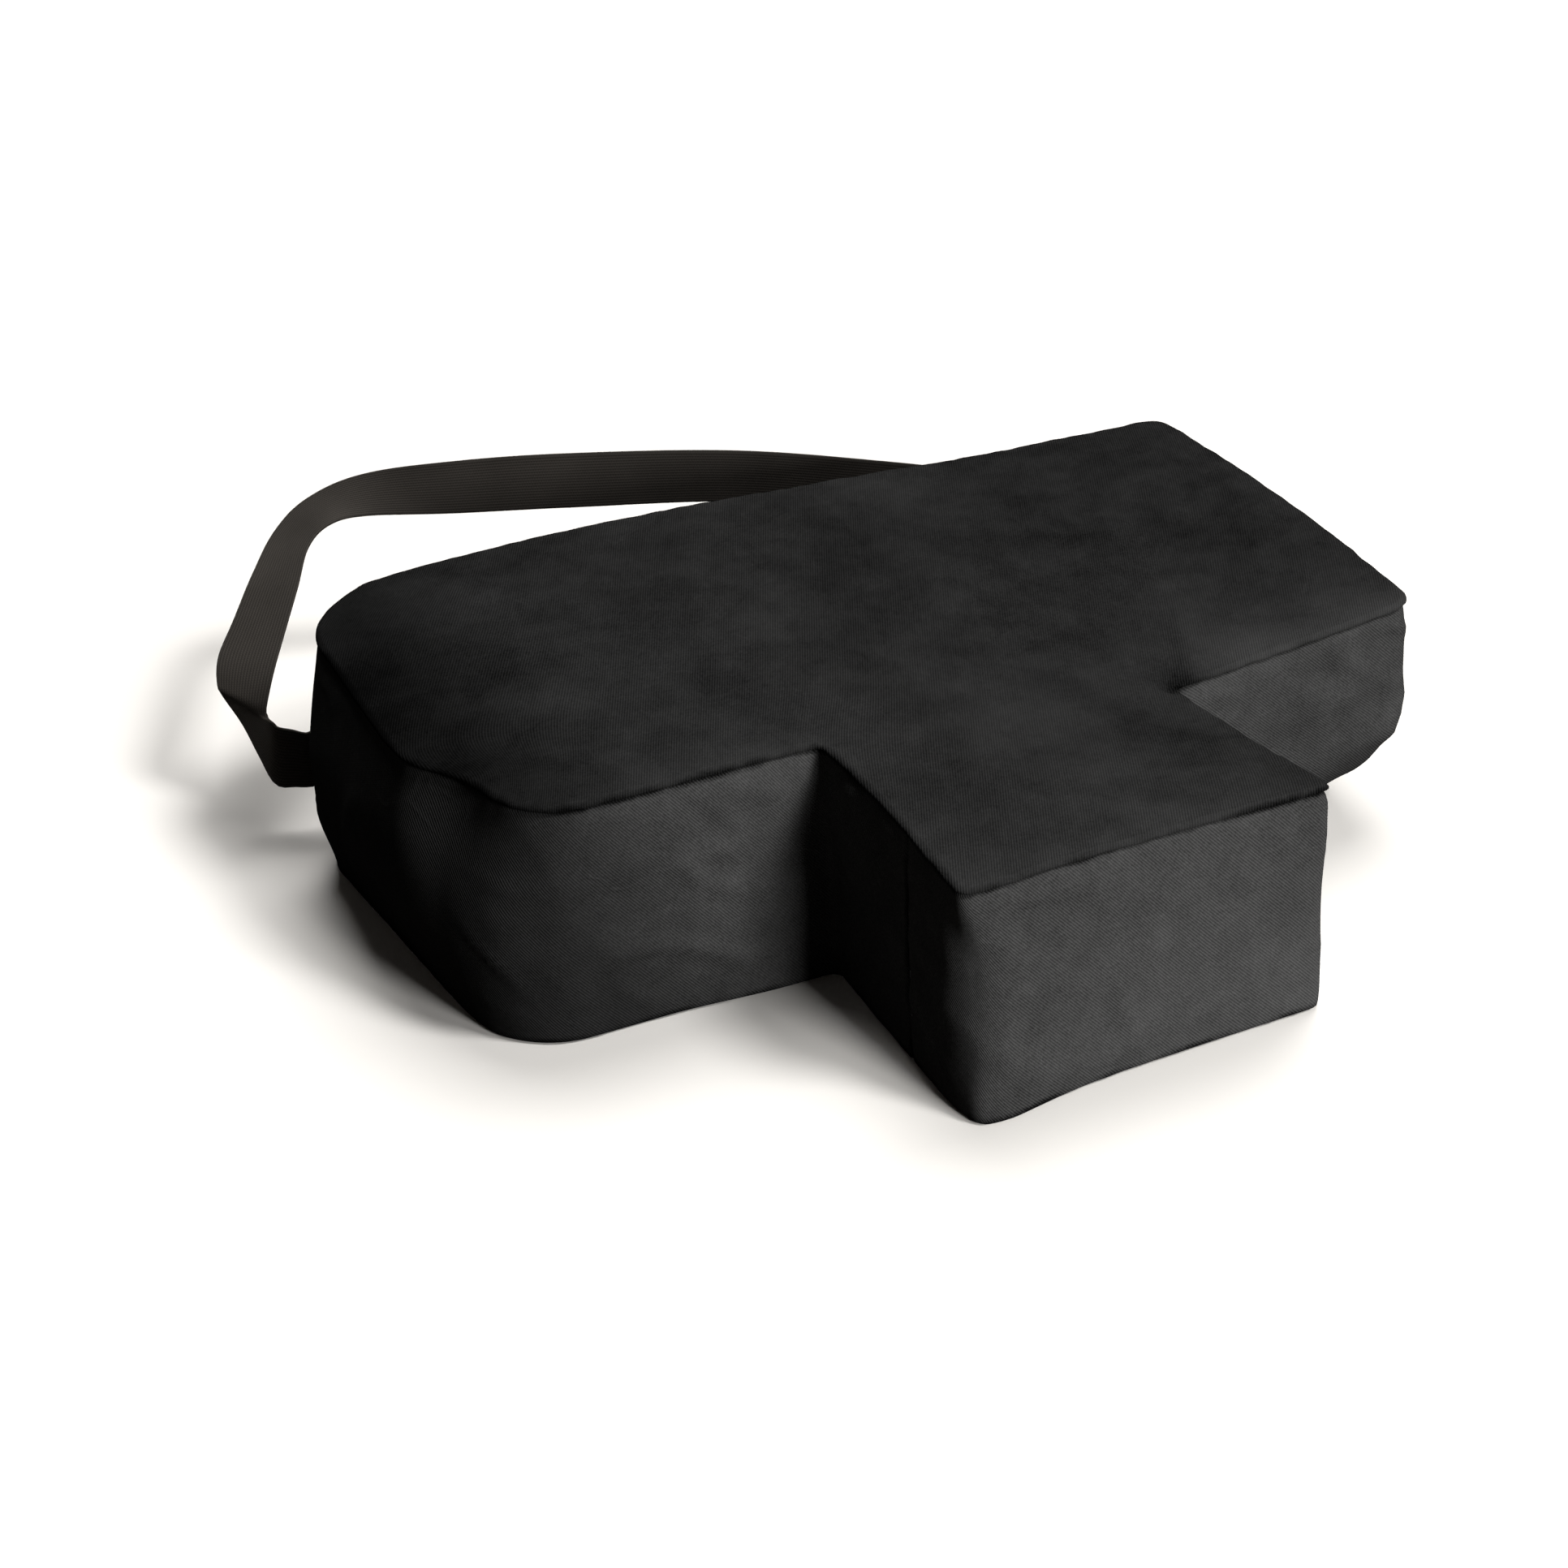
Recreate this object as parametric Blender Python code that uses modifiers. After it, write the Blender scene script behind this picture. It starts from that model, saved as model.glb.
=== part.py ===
"""Film changing bag: a T-shaped padded bag with a zip, two arm sleeves and an elastic strap.

Frame: metres, +Z up. The origin is on the underside, at the middle of the crossbar.
+X runs along the crossbar to its right end, and the stem of the T points to -Y.
"""

import math

import bmesh
import bpy
from mathutils import Matrix, Vector, geometry

# Outside sizes of the bag.
BAG_HEIGHT = 0.112
BAR_LENGTH = 0.452
BAR_DEPTH = 0.233
STEM_WIDTH = 0.169
STEM_LENGTH = 0.123
STEM_FROM_LEFT = 0.156

# How far the soft ends swell at the middle of their height and depth, how much less their pads do,
# and the longest straight piece of a swollen wall.
LEFT_SWELL = 0.013
RIGHT_SWELL = 0.007
PAD_SLACK = 0.0014
WALL_STEP = 0.030

# The stuffing lifts the top most at one place of the plan, and less over these distances from it. The top is
# made of faces of about one size.
TOP_RISE = 0.014
RISE_FROM_LEFT = 0.116
RISE_FROM_BACK = 0.0165
RISE_ALONG = 0.200
RISE_DEEP = 0.260
TOP_STEP = 0.026

# Corner radii of the plan. The left end is slack, so its corners are the roundest.
BACK_LEFT_RADIUS = 0.034
FRONT_LEFT_RADIUS = 0.042
FRONT_RIGHT_RADIUS = 0.016
BACK_RIGHT_RADIUS = 0.014
STEM_RADIUS = 0.010
INNER_RADIUS = 0.004

# Layers of the wall, from the outside in.
GAP = 0.0003
CLOTH = 0.0012
BOARD = 0.006
LINING = 0.0008

# The boxing strips are joined on the left side of the stem and at the two back seams.
JOIN_FROM_BAR = 0.072
BACK_RETURN = 0.038

# Zip along the top of the back.
ZIP_DROP = 0.018
ZIP_SLOT = 0.014
ZIP_END = 0.006
TAPE = 0.0006
TAPE_WIDTH = 0.0125
CHAIN_HALF = 0.0032
CHAIN_SPLIT = 0.0012
CHAIN_DEPTH = 0.0015
SLIDER_LENGTH = 0.011
SLIDER_WIDTH = 0.0084
SLIDER_PLATE = 0.0012
ARCH_RISE = 0.0030
ARCH_BAR = 0.0010
PULL_LENGTH = 0.024
PULL_WIDTH = 0.0064
PULL_THICK = 0.0012
PULL_SLOT = 0.0046
STOP_LENGTH = 0.003
SLIDER_BACK = 0.001
SLIDER_WELD = 0.0005
NECK_START = 0.001
NECK_LENGTH = 0.0035
ARCH_IN = 0.0013
ARCH_WIDE = 0.0016
PULL_TAPER = 0.001
PULL_NECK = 0.008
PULL_EYE = 0.0026
PULL_RADIUS = 0.002
FLAP_DROP = 0.024
FLAP_SIDE = 0.004
FLAP_TOP = 0.001

# Arm holes, sleeves and cuffs. The sleeves are tucked into the bag.
ARM_OFFSET = 0.090
ARM_WIDE = 0.096
ARM_BELOW_ZIP = 0.019
ARM_ABOVE_BASE = 0.013
SLEEVE_LENGTH = 0.110
SLEEVE_PROUD = 0.0015
SLEEVE_CLOTH = 0.0012
CUFF_WIDE = 0.060
CUFF_HIGH = 0.048
CUFF_LENGTH = 0.014
CUFF_ELASTIC = 0.0016
CUFF_SETBACK = 0.0005
ARM_BINDING = 0.007

# Seam bindings inside.
BINDING_HEIGHT = 0.008
BINDING = 0.001

# Elastic strap.
STRAP_WIDTH = 0.030
STRAP_THICK = 0.002
STRAP_HEIGHT = 0.039
TAB_PAST_END = 0.004
TAB_OVER_SEAM = 0.012
TACK_FROM_SEAM = 0.006
TACK_FROM_EDGE = 0.002
TACK_WIDTH = 0.003
TACK_THICK = 0.0008
STRAP_STEPS = 5

# Where the strap's two edges pass, as x from the bag's end, y behind the bag's back and z above the
# strap's own seam. The first edge is the one that is uppermost along the back.
STRAP_LEFT = (
    ((-0.011, 0.002, -0.015), (-0.011, 0.002, 0.015)),
    ((-0.020, 0.004, -0.014), (-0.018, 0.003, 0.016)),
    ((-0.028, 0.009, -0.011), (-0.024, 0.005, 0.018)),
    ((-0.035, 0.017, -0.002), (-0.028, 0.007, 0.022)),
    ((-0.041, 0.028, 0.012), (-0.030, 0.010, 0.026)),
    ((-0.045, 0.041, 0.027), (-0.028, 0.017, 0.028)),
    ((-0.038, 0.055, 0.035), (-0.019, 0.031, 0.033)),
    ((-0.023, 0.076, 0.041), (-0.003, 0.053, 0.041)),
    ((-0.005, 0.104, 0.048), (0.012, 0.079, 0.049)),
    ((0.017, 0.137, 0.053), (0.028, 0.111, 0.054)),
    ((0.039, 0.150, 0.057), (0.043, 0.122, 0.056)),
    ((0.068, 0.144, 0.066), (0.063, 0.126, 0.056)),
    ((0.110, 0.121, 0.078), (0.106, 0.115, 0.052)),
    ((0.166, 0.103, 0.077), (0.164, 0.100, 0.048)),
)
STRAP_RIGHT = (
    ((-0.203, 0.080, 0.069), (-0.203, 0.082, 0.039)),
    ((-0.126, 0.058, 0.054), (-0.126, 0.059, 0.024)),
    ((-0.052, 0.050, 0.032), (-0.052, 0.050, 0.002)),
    ((0.000, 0.042, 0.020), (0.000, 0.042, -0.010)),
    ((0.018, 0.029, 0.016), (0.018, 0.029, -0.014)),
    ((0.020, 0.012, 0.015), (0.020, 0.012, -0.015)),
    ((0.013, 0.003, 0.015), (0.013, 0.003, -0.015)),
)

# Edges of the plan.
LEFT = -BAR_LENGTH / 2
RIGHT = BAR_LENGTH / 2
FRONT = -BAR_DEPTH / 2
BACK = BAR_DEPTH / 2
STEM_LEFT = LEFT + STEM_FROM_LEFT
STEM_RIGHT = STEM_LEFT + STEM_WIDTH
STEM_FRONT = FRONT - STEM_LENGTH

# Depths of the layers below the outside.
BOARD_IN = CLOTH + GAP
LINING_IN = BOARD_IN + BOARD + GAP
CHAMBER_IN = LINING_IN + LINING

ZIP_HEIGHT = BAG_HEIGHT - ZIP_DROP

# The arm holes lie between the base and the zip, and clear the sleeve's cloth.
ARM_TOP = ZIP_HEIGHT - ARM_BELOW_ZIP
ARM_HIGH = ARM_TOP - ARM_ABOVE_BASE
ARM_HEIGHT = (ARM_TOP + ARM_ABOVE_BASE) / 2
ARM_CLEAR = SLEEVE_CLOTH + 4 * GAP

BLACK_TWILL = (0.022, 0.021, 0.020)
BLACK_LINING = (0.012, 0.012, 0.013)
GREY_FOAM = (0.10, 0.10, 0.11)
BLACK_TAPE = (0.016, 0.016, 0.017)
BLACK_NYLON = (0.030, 0.030, 0.032)
DARK_METAL = (0.16, 0.16, 0.17)
BROWN_ELASTIC = (0.030, 0.025, 0.022)
BLACK_THREAD = (0.040, 0.038, 0.036)


def clear_scene():
    """Remove the objects of the startup scene."""
    for old in list(bpy.data.objects):
        bpy.data.objects.remove(old, do_unlink=True)


def collection(name):
    """Make a collection in the scene."""
    made = bpy.data.collections.new(name)
    bpy.context.scene.collection.children.link(made)
    return made


def material(name, colour, roughness, metallic=0.0):
    """Make a plain material."""
    made = bpy.data.materials.new(name)
    made.use_nodes = True
    shader = made.node_tree.nodes["Principled BSDF"]
    shader.inputs["Base Color"].default_value = (*colour, 1.0)
    shader.inputs["Roughness"].default_value = roughness
    shader.inputs["Metallic"].default_value = metallic
    return made


def place(made, colour, roughness, metallic=0.0, group=None):
    """Give an object its own material and put it in its collection."""
    made.data.materials.append(material(made.name, colour, roughness, metallic))
    (group or PARTS).objects.link(made)
    return made


def mesh_object(name, shape, pivot):
    """Make an object of a mesh in world coordinates, with its origin at the pivot."""
    bmesh.ops.translate(shape, verts=shape.verts, vec=-Vector(pivot))
    mesh = bpy.data.meshes.new(name)
    shape.to_mesh(mesh)
    shape.free()
    made = bpy.data.objects.new(name, mesh)
    made.location = pivot
    return made


def block(name, low, high, pivot=(0.0, 0.0, 0.0)):
    """Make a box between two corners."""
    low = Vector(low)
    high = Vector(high)
    shape = bmesh.new()
    bmesh.ops.create_cube(shape, size=1.0)
    bmesh.ops.scale(shape, verts=shape.verts, vec=high - low)
    bmesh.ops.translate(shape, verts=shape.verts, vec=(low + high) / 2)
    return mesh_object(name, shape, pivot)


def outline_solid(name, loops, low, high, upright=False):
    """Extrude closed outlines from low to high, upwards or, if upright, along +Y."""
    curve = bpy.data.curves.new(name, "CURVE")
    curve.dimensions = "2D"
    curve.fill_mode = "BOTH"
    curve.extrude = (high - low) / 2
    for loop in loops:
        spline = curve.splines.new("POLY")
        spline.points.add(len(loop) - 1)
        spline.use_cyclic_u = True
        for point, (across, along) in zip(spline.points, loop):
            point.co = (across, along, 0.0, 1.0)
    made = bpy.data.objects.new(name, curve)
    middle = (low + high) / 2
    if upright:
        made.rotation_euler = (math.pi / 2, 0.0, 0.0)
        made.location = (0.0, middle, 0.0)
    else:
        made.location = (0.0, 0.0, middle)
    return made


def as_mesh(made):
    """Turn a curve object that is in no collection yet into a mesh object, with its place kept."""
    name = made.name
    mesh = bpy.data.meshes.new_from_object(made)
    mesh.transform(made.matrix_basis)
    bpy.data.objects.remove(made, do_unlink=True)
    shape = bmesh.new()
    shape.from_mesh(mesh)
    bmesh.ops.remove_doubles(shape, verts=shape.verts, dist=0.000001)
    bmesh.ops.recalc_face_normals(shape, faces=shape.faces)
    return mesh_object(name, shape, (0.0, 0.0, 0.0))


def rounded(corners, closed):
    """Turn corners of (x, y, radius) into points, with an arc at each corner that has a radius."""
    points = []
    count = len(corners)
    for index, (x, y, radius) in enumerate(corners):
        corner = Vector((x, y))
        at_end = not closed and index in (0, count - 1)
        if at_end or radius < 0.0005:
            points.append(corner)
            continue
        before = (Vector(corners[index - 1][:2]) - corner).normalized()
        after = (Vector(corners[(index + 1) % count][:2]) - corner).normalized()
        opening = before.angle(after)
        reach = radius / math.tan(opening / 2)
        centre = corner + (before + after).normalized() * radius / math.sin(opening / 2)
        first = corner + before * reach - centre
        turn = first.angle_signed(corner + after * reach - centre)
        steps = max(2, math.ceil(radius / 0.006))
        for step in range(steps + 1):
            points.append(centre + Matrix.Rotation(-turn * step / steps, 2) @ first)
    return [(point.x, point.y) for point in points]


def turned_out(radius, inset):
    """Radius of an outward corner that lies inset below the outside."""
    return max(radius - inset, 0.0006)


def t_outline(inset, back_inset=None):
    """Outline of the T, drawn inset from the outside."""
    back = BACK - (inset if back_inset is None else back_inset)
    corners = [
        (LEFT + inset, back, turned_out(BACK_LEFT_RADIUS, inset)),
        (LEFT + inset, FRONT + inset, turned_out(FRONT_LEFT_RADIUS, inset)),
        (STEM_LEFT + inset, FRONT + inset, INNER_RADIUS + inset),
        (STEM_LEFT + inset, STEM_FRONT + inset, turned_out(STEM_RADIUS, inset)),
        (STEM_RIGHT - inset, STEM_FRONT + inset, turned_out(STEM_RADIUS, inset)),
        (STEM_RIGHT - inset, FRONT + inset, INNER_RADIUS + inset),
        (RIGHT - inset, FRONT + inset, turned_out(FRONT_RIGHT_RADIUS, inset)),
        (RIGHT - inset, back, turned_out(BACK_RIGHT_RADIUS, inset)),
    ]
    return rounded(corners, closed=True)


def left_run(inset):
    """Path of the left side wall, from the back seam to the join on the stem."""
    return [
        (LEFT + BACK_RETURN, BACK - inset, 0.0),
        (LEFT + inset, BACK - inset, turned_out(BACK_LEFT_RADIUS, inset)),
        (LEFT + inset, FRONT + inset, turned_out(FRONT_LEFT_RADIUS, inset)),
        (STEM_LEFT + inset, FRONT + inset, INNER_RADIUS + inset),
        (STEM_LEFT + inset, FRONT - JOIN_FROM_BAR + GAP, 0.0),
    ]


def right_run(inset):
    """Path of the right side wall, from the join on the stem to the back seam."""
    return [
        (STEM_LEFT + inset, FRONT - JOIN_FROM_BAR, 0.0),
        (STEM_LEFT + inset, STEM_FRONT + inset, turned_out(STEM_RADIUS, inset)),
        (STEM_RIGHT - inset, STEM_FRONT + inset, turned_out(STEM_RADIUS, inset)),
        (STEM_RIGHT - inset, FRONT + inset, INNER_RADIUS + inset),
        (RIGHT - inset, FRONT + inset, turned_out(FRONT_RIGHT_RADIUS, inset)),
        (RIGHT - inset, BACK - inset, turned_out(BACK_RIGHT_RADIUS, inset)),
        (RIGHT - BACK_RETURN, BACK - inset, 0.0),
    ]


def whole_run(inset):
    """Path round the whole of the sides, from one back seam to the other."""
    return left_run(inset)[:-1] + right_run(inset)[1:]


def wall(name, run, outside, inside, low, high):
    """Make a standing wall that follows a run between two depths below the outside."""
    outer = rounded(run(outside), closed=False)
    inner = rounded(run(inside), closed=False)
    return outline_solid(name, [outer + inner[::-1]], low, high)


def ease(share):
    """Smooth step from 0 to 1."""
    share = min(max(share, 0.0), 1.0)
    return share * share * (3 - 2 * share)


def swell(x, y, up, slack=0.0):
    """How far a side wall swells outwards at a place of the plan and a share of the height."""
    deep = math.sin(math.pi * min(max((y - FRONT) / BAR_DEPTH, 0.0), 1.0))
    left = (LEFT_SWELL - slack) * ease(1 - (x - LEFT) / FRONT_LEFT_RADIUS)
    right = (RIGHT_SWELL - slack) * ease(1 - (RIGHT - x) / FRONT_RIGHT_RADIUS)
    return (left + right) * deep * math.sin(math.pi * up)


def spaced(points, longest):
    """Points along a path, with its long straights divided."""
    divided = [Vector(points[0])]
    for start, end in zip(points, points[1:]):
        start = Vector(start)
        end = Vector(end)
        parts = max(1, math.ceil((end - start).length / longest))
        divided += [start.lerp(end, part / parts) for part in range(1, parts + 1)]
    return divided


def top_rise(x, y):
    """How far the stuffing lifts the top at a place of the plan."""
    along = (x - LEFT - RISE_FROM_LEFT) / RISE_ALONG
    deep = (BACK - RISE_FROM_BACK - y) / RISE_DEEP
    return TOP_RISE * math.exp(-along * along - deep * deep)


def inner_points(loop, step):
    """Points of an even grid inside an outline, clear of its edge."""
    left = min(point.x for point in loop)
    front = min(point.y for point in loop)
    right = max(point.x for point in loop)
    back = max(point.y for point in loop)
    found = []
    for row in range(1, math.ceil((back - front) / step)):
        for column in range(1, math.ceil((right - left) / step)):
            at = Vector((left + column * step, front + row * step))
            crossings = 0
            clear = True
            for start, end in zip(loop, loop[1:] + loop[:1]):
                near, share = geometry.intersect_point_line(at, start, end)
                near = start.lerp(end, min(max(share, 0.0), 1.0))
                clear = clear and (near - at).length > step / 3
                if (start.y > at.y) != (end.y > at.y):
                    across = start.x + (end.x - start.x) * (at.y - start.y) / (end.y - start.y)
                    crossings += across > at.x
            if clear and crossings % 2:
                found.append(at)
    return found


def lifted_sheet(name, outline, low, high, low_lifts):
    """Make a layer between two heights whose upper face, and if wanted its lower one, follows the top."""
    loop = spaced(outline + outline[:1], TOP_STEP)[:-1]
    count = len(loop)
    points = loop + inner_points(loop, TOP_STEP)
    edges = [(index, (index + 1) % count) for index in range(count)]
    places, bars, faces, *origins = geometry.delaunay_2d_cdt(points, edges, [list(range(count))], 1, 1e-7)
    shape = bmesh.new()
    upper = []
    lower = []
    for at in places:
        lift = top_rise(at.x, at.y)
        upper.append(shape.verts.new((at.x, at.y, high + lift)))
        lower.append(shape.verts.new((at.x, at.y, low + (lift if low_lifts else 0.0))))
    for corners in faces:
        shape.faces.new([upper[corner] for corner in corners])
        shape.faces.new([lower[corner] for corner in reversed(corners)])
    for edge in [edge for edge in shape.edges if edge.is_boundary]:
        first, second = [upper.index(vertex) if vertex in upper else -1 for vertex in edge.verts]
        if first >= 0 and second >= 0:
            shape.faces.new((upper[first], upper[second], lower[second], lower[first]))
    bmesh.ops.recalc_face_normals(shape, faces=shape.faces)
    return mesh_object(name, shape, (0.0, 0.0, 0.0))


def swollen_wall(name, run, low, high):
    """Make a cloth wall that follows a run, swells at the soft ends and rises with the top."""
    path = spaced(rounded(run(CLOTH / 2), closed=False), WALL_STEP)
    shape = bmesh.new()
    bmesh.ops.create_grid(shape, x_segments=len(path) - 1, y_segments=8, size=0.5)
    for vertex in shape.verts:
        index = round((vertex.co.x + 0.5) * (len(path) - 1))
        up = vertex.co.y + 0.5
        along = path[min(index + 1, len(path) - 1)] - path[max(index - 1, 0)]
        outward = Vector((along.y, -along.x)).normalized()
        at = path[index] + outward * swell(*path[index], up)
        rim = high + top_rise(*path[index])
        vertex.co = (at.x, at.y, low + (rim - low) * up)
    made = mesh_object(name, shape, (0.0, 0.0, 0.0))
    add_thickness(made, CLOTH)
    return made


def end_pad(name, low, high, outer):
    """Make a soft pad whose outer face is crowned to fill the swell of its end."""
    low = Vector(low)
    high = Vector(high)
    shape = bmesh.new()
    bmesh.ops.create_cube(shape, size=1.0)
    bmesh.ops.subdivide_edges(shape, edges=shape.edges, cuts=5, use_grid_fill=True)
    side = 1 if outer > (low.x + high.x) / 2 else -1
    for vertex in shape.verts:
        share = vertex.co + Vector((0.5, 0.5, 0.5))
        at = Vector([a + (b - a) * c for a, b, c in zip(low, high, share)])
        up = (at.z - CLOTH - GAP) / (BAG_HEIGHT - 2 * CLOTH - 2 * GAP + top_rise(outer, at.y))
        crown = swell(outer, at.y, up, PAD_SLACK)
        thick = share.x if side > 0 else 1 - share.x
        at.x += side * crown * thick
        vertex.co = at
    return mesh_object(name, shape, (0.0, 0.0, 0.0))


def oval(middle_x, middle_z, wide, high, count=40):
    """Points of an oval."""
    turns = [2 * math.pi * index / count for index in range(count)]
    return [(middle_x + wide / 2 * math.cos(a), middle_z + high / 2 * math.sin(a)) for a in turns]


def rectangle(left, low, right, high):
    """Corners of a rectangle."""
    return [(left, low), (right, low), (right, high), (left, high)]


def add_union(made, other):
    """Join another mesh to an object with a Boolean."""
    HELPERS.objects.link(other)
    other.hide_render = True
    other.display_type = "WIRE"
    joint = made.modifiers.new(other.name, "BOOLEAN")
    joint.operation = "UNION"
    joint.solver = "EXACT"
    joint.object = other


def add_thickness(made, thickness):
    """Thicken a sheet evenly about its middle."""
    solid = made.modifiers.new("thickness", "SOLIDIFY")
    solid.thickness = thickness
    solid.offset = 0.0
    solid.use_even_offset = True


def sleeve_half(share, clear):
    """Half width and half height of a sleeve's middle surface, grown by clear, from its mouth in."""
    wide = ARM_WIDE + (CUFF_WIDE - ARM_WIDE) * share
    high = ARM_HIGH + (CUFF_HIGH - ARM_HIGH) * share
    return wide / 2 + clear, high / 2 + clear


def oval_tube(name, middle_x, start, end, clear, thickness):
    """Make an oval tube that follows the sleeve's taper between two shares of its length."""
    shape = bmesh.new()
    bmesh.ops.create_cone(
        shape, cap_ends=False, segments=40, radius1=1.0, radius2=1.0, depth=1.0
    )
    for vertex in shape.verts:
        share = start + (end - start) * (vertex.co.z + 0.5)
        wide, high = sleeve_half(share, clear)
        turn = math.atan2(vertex.co.y, vertex.co.x)
        across = middle_x + wide * math.cos(turn)
        up = ARM_HEIGHT + high * math.sin(turn)
        vertex.co = (across, BACK + SLEEVE_PROUD - share * SLEEVE_LENGTH, up)
    made = mesh_object(name, shape, (middle_x, BACK, ARM_HEIGHT))
    add_thickness(made, thickness)
    return made


def strap_stations():
    """The strap's two edges, from the left tab to the right tab, in world coordinates."""
    tab_y = BACK + GAP + STRAP_THICK / 2
    half = STRAP_WIDTH / 2
    left_end = LEFT - TAB_PAST_END - GAP
    right_end = RIGHT + TAB_PAST_END + GAP
    stations = [
        (
            Vector((left_end, tab_y, STRAP_HEIGHT - half)),
            Vector((left_end, tab_y, STRAP_HEIGHT + half)),
        )
    ]
    for end, rows in ((LEFT, STRAP_LEFT), (RIGHT, STRAP_RIGHT)):
        corner = Vector((end, BACK, STRAP_HEIGHT))
        stations += [(corner + Vector(first), corner + Vector(second)) for first, second in rows]
    stations.append(
        (
            Vector((right_end, tab_y, STRAP_HEIGHT + half)),
            Vector((right_end, tab_y, STRAP_HEIGHT - half)),
        )
    )
    return stations


def curve_through(points, position):
    """Point of a smooth curve through the given points, at a position counted in points."""
    index = min(int(position), len(points) - 2)
    share = position - index
    before = points[max(index - 1, 0)]
    start = points[index]
    end = points[index + 1]
    after = points[min(index + 2, len(points) - 1)]
    bend = 2 * before - 5 * start + 4 * end - after
    twist = 3 * start - before - 3 * end + after
    return start + 0.5 * share * (end - before + share * (bend + share * twist))


def ribbon(name, stations, width, thickness, steps, pivot):
    """Make a flat band whose two edges pass through the stations."""
    firsts = [first for first, second in stations]
    seconds = [second for first, second in stations]
    columns = steps * (len(stations) - 1)
    shape = bmesh.new()
    bmesh.ops.create_grid(shape, x_segments=columns, y_segments=2, size=0.5)
    for vertex in shape.verts:
        position = (vertex.co.x + 0.5) * (len(stations) - 1)
        first = curve_through(firsts, position)
        second = curve_through(seconds, position)
        across = (first - second).normalized() * width
        vertex.co = (first + second) / 2 + across * vertex.co.y
    made = mesh_object(name, shape, pivot)
    add_thickness(made, thickness)
    return made


def build_cover():
    """Outer cloth: two T panels, two boxing strips and the back below and above the zip."""
    low = CLOTH + GAP
    high = BAG_HEIGHT - CLOTH - GAP
    left = LEFT + BACK_RETURN + GAP
    right = RIGHT - BACK_RETURN - GAP
    below = ZIP_HEIGHT - ZIP_SLOT / 2
    above = ZIP_HEIGHT + ZIP_SLOT / 2
    top = lifted_sheet("top_cover", t_outline(0.0), BAG_HEIGHT - CLOTH, BAG_HEIGHT, True)
    place(top, BLACK_TWILL, 0.9)
    place(outline_solid("bottom_cover", [t_outline(0.0)], 0.0, CLOTH), BLACK_TWILL, 0.9)
    place(swollen_wall("left_boxing", left_run, low, high), BLACK_TWILL, 0.9)
    place(swollen_wall("right_boxing", right_run, low, high), BLACK_TWILL, 0.9)
    loops = [rectangle(left, low, right, below)]
    for side in (-1, 1):
        loops.append(oval(side * ARM_OFFSET, ARM_HEIGHT, ARM_WIDE + ARM_CLEAR, ARM_HIGH + ARM_CLEAR))
    place(outline_solid("back_panel", loops, BACK - CLOTH, BACK, True), BLACK_TWILL, 0.9)
    rim = spaced([(right, BACK), (left, BACK)], WALL_STEP)
    loop = [(left, above), (right, above)] + [(at.x, high + top_rise(at.x, BACK)) for at in rim]
    place(outline_solid("back_strip", [loop], BACK - CLOTH, BACK, True), BLACK_TWILL, 0.9)


def build_boards():
    """Foam boards that stiffen the walls, and the softer pads in the two ends."""
    inner = BOARD_IN + BOARD
    loop = t_outline(BOARD_IN, LINING_IN)
    place(outline_solid("bottom_board", [loop], BOARD_IN, inner), GREY_FOAM, 0.85)
    top = lifted_sheet("top_board", loop, BAG_HEIGHT - inner, BAG_HEIGHT - BOARD_IN, False)
    place(top, GREY_FOAM, 0.85)
    low = inner + GAP
    high = BAG_HEIGHT - inner - GAP
    walls = {
        "front_left_board": (
            (LEFT + FRONT_LEFT_RADIUS, FRONT + BOARD_IN),
            (STEM_LEFT - INNER_RADIUS, FRONT + inner),
        ),
        "front_right_board": (
            (STEM_RIGHT + INNER_RADIUS, FRONT + BOARD_IN),
            (RIGHT - FRONT_RIGHT_RADIUS, FRONT + inner),
        ),
        "stem_left_board": (
            (STEM_LEFT + BOARD_IN, STEM_FRONT + STEM_RADIUS),
            (STEM_LEFT + inner, FRONT - INNER_RADIUS),
        ),
        "stem_right_board": (
            (STEM_RIGHT - inner, STEM_FRONT + STEM_RADIUS),
            (STEM_RIGHT - BOARD_IN, FRONT - INNER_RADIUS),
        ),
        "stem_front_board": (
            (STEM_LEFT + STEM_RADIUS, STEM_FRONT + BOARD_IN),
            (STEM_RIGHT - STEM_RADIUS, STEM_FRONT + inner),
        ),
    }
    for name, (first, second) in walls.items():
        place(block(name, (*first, low), (*second, high)), GREY_FOAM, 0.85)
    left_pad = end_pad(
        "left_end_pad",
        (LEFT + BOARD_IN, FRONT + FRONT_LEFT_RADIUS, low),
        (LEFT + inner, BACK - BACK_LEFT_RADIUS, high),
        LEFT,
    )
    right_pad = end_pad(
        "right_end_pad",
        (RIGHT - inner, FRONT + FRONT_RIGHT_RADIUS, low),
        (RIGHT - BOARD_IN, BACK - BACK_RIGHT_RADIUS, high),
        RIGHT,
    )
    place(left_pad, GREY_FOAM, 0.85)
    place(right_pad, GREY_FOAM, 0.85)


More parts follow.
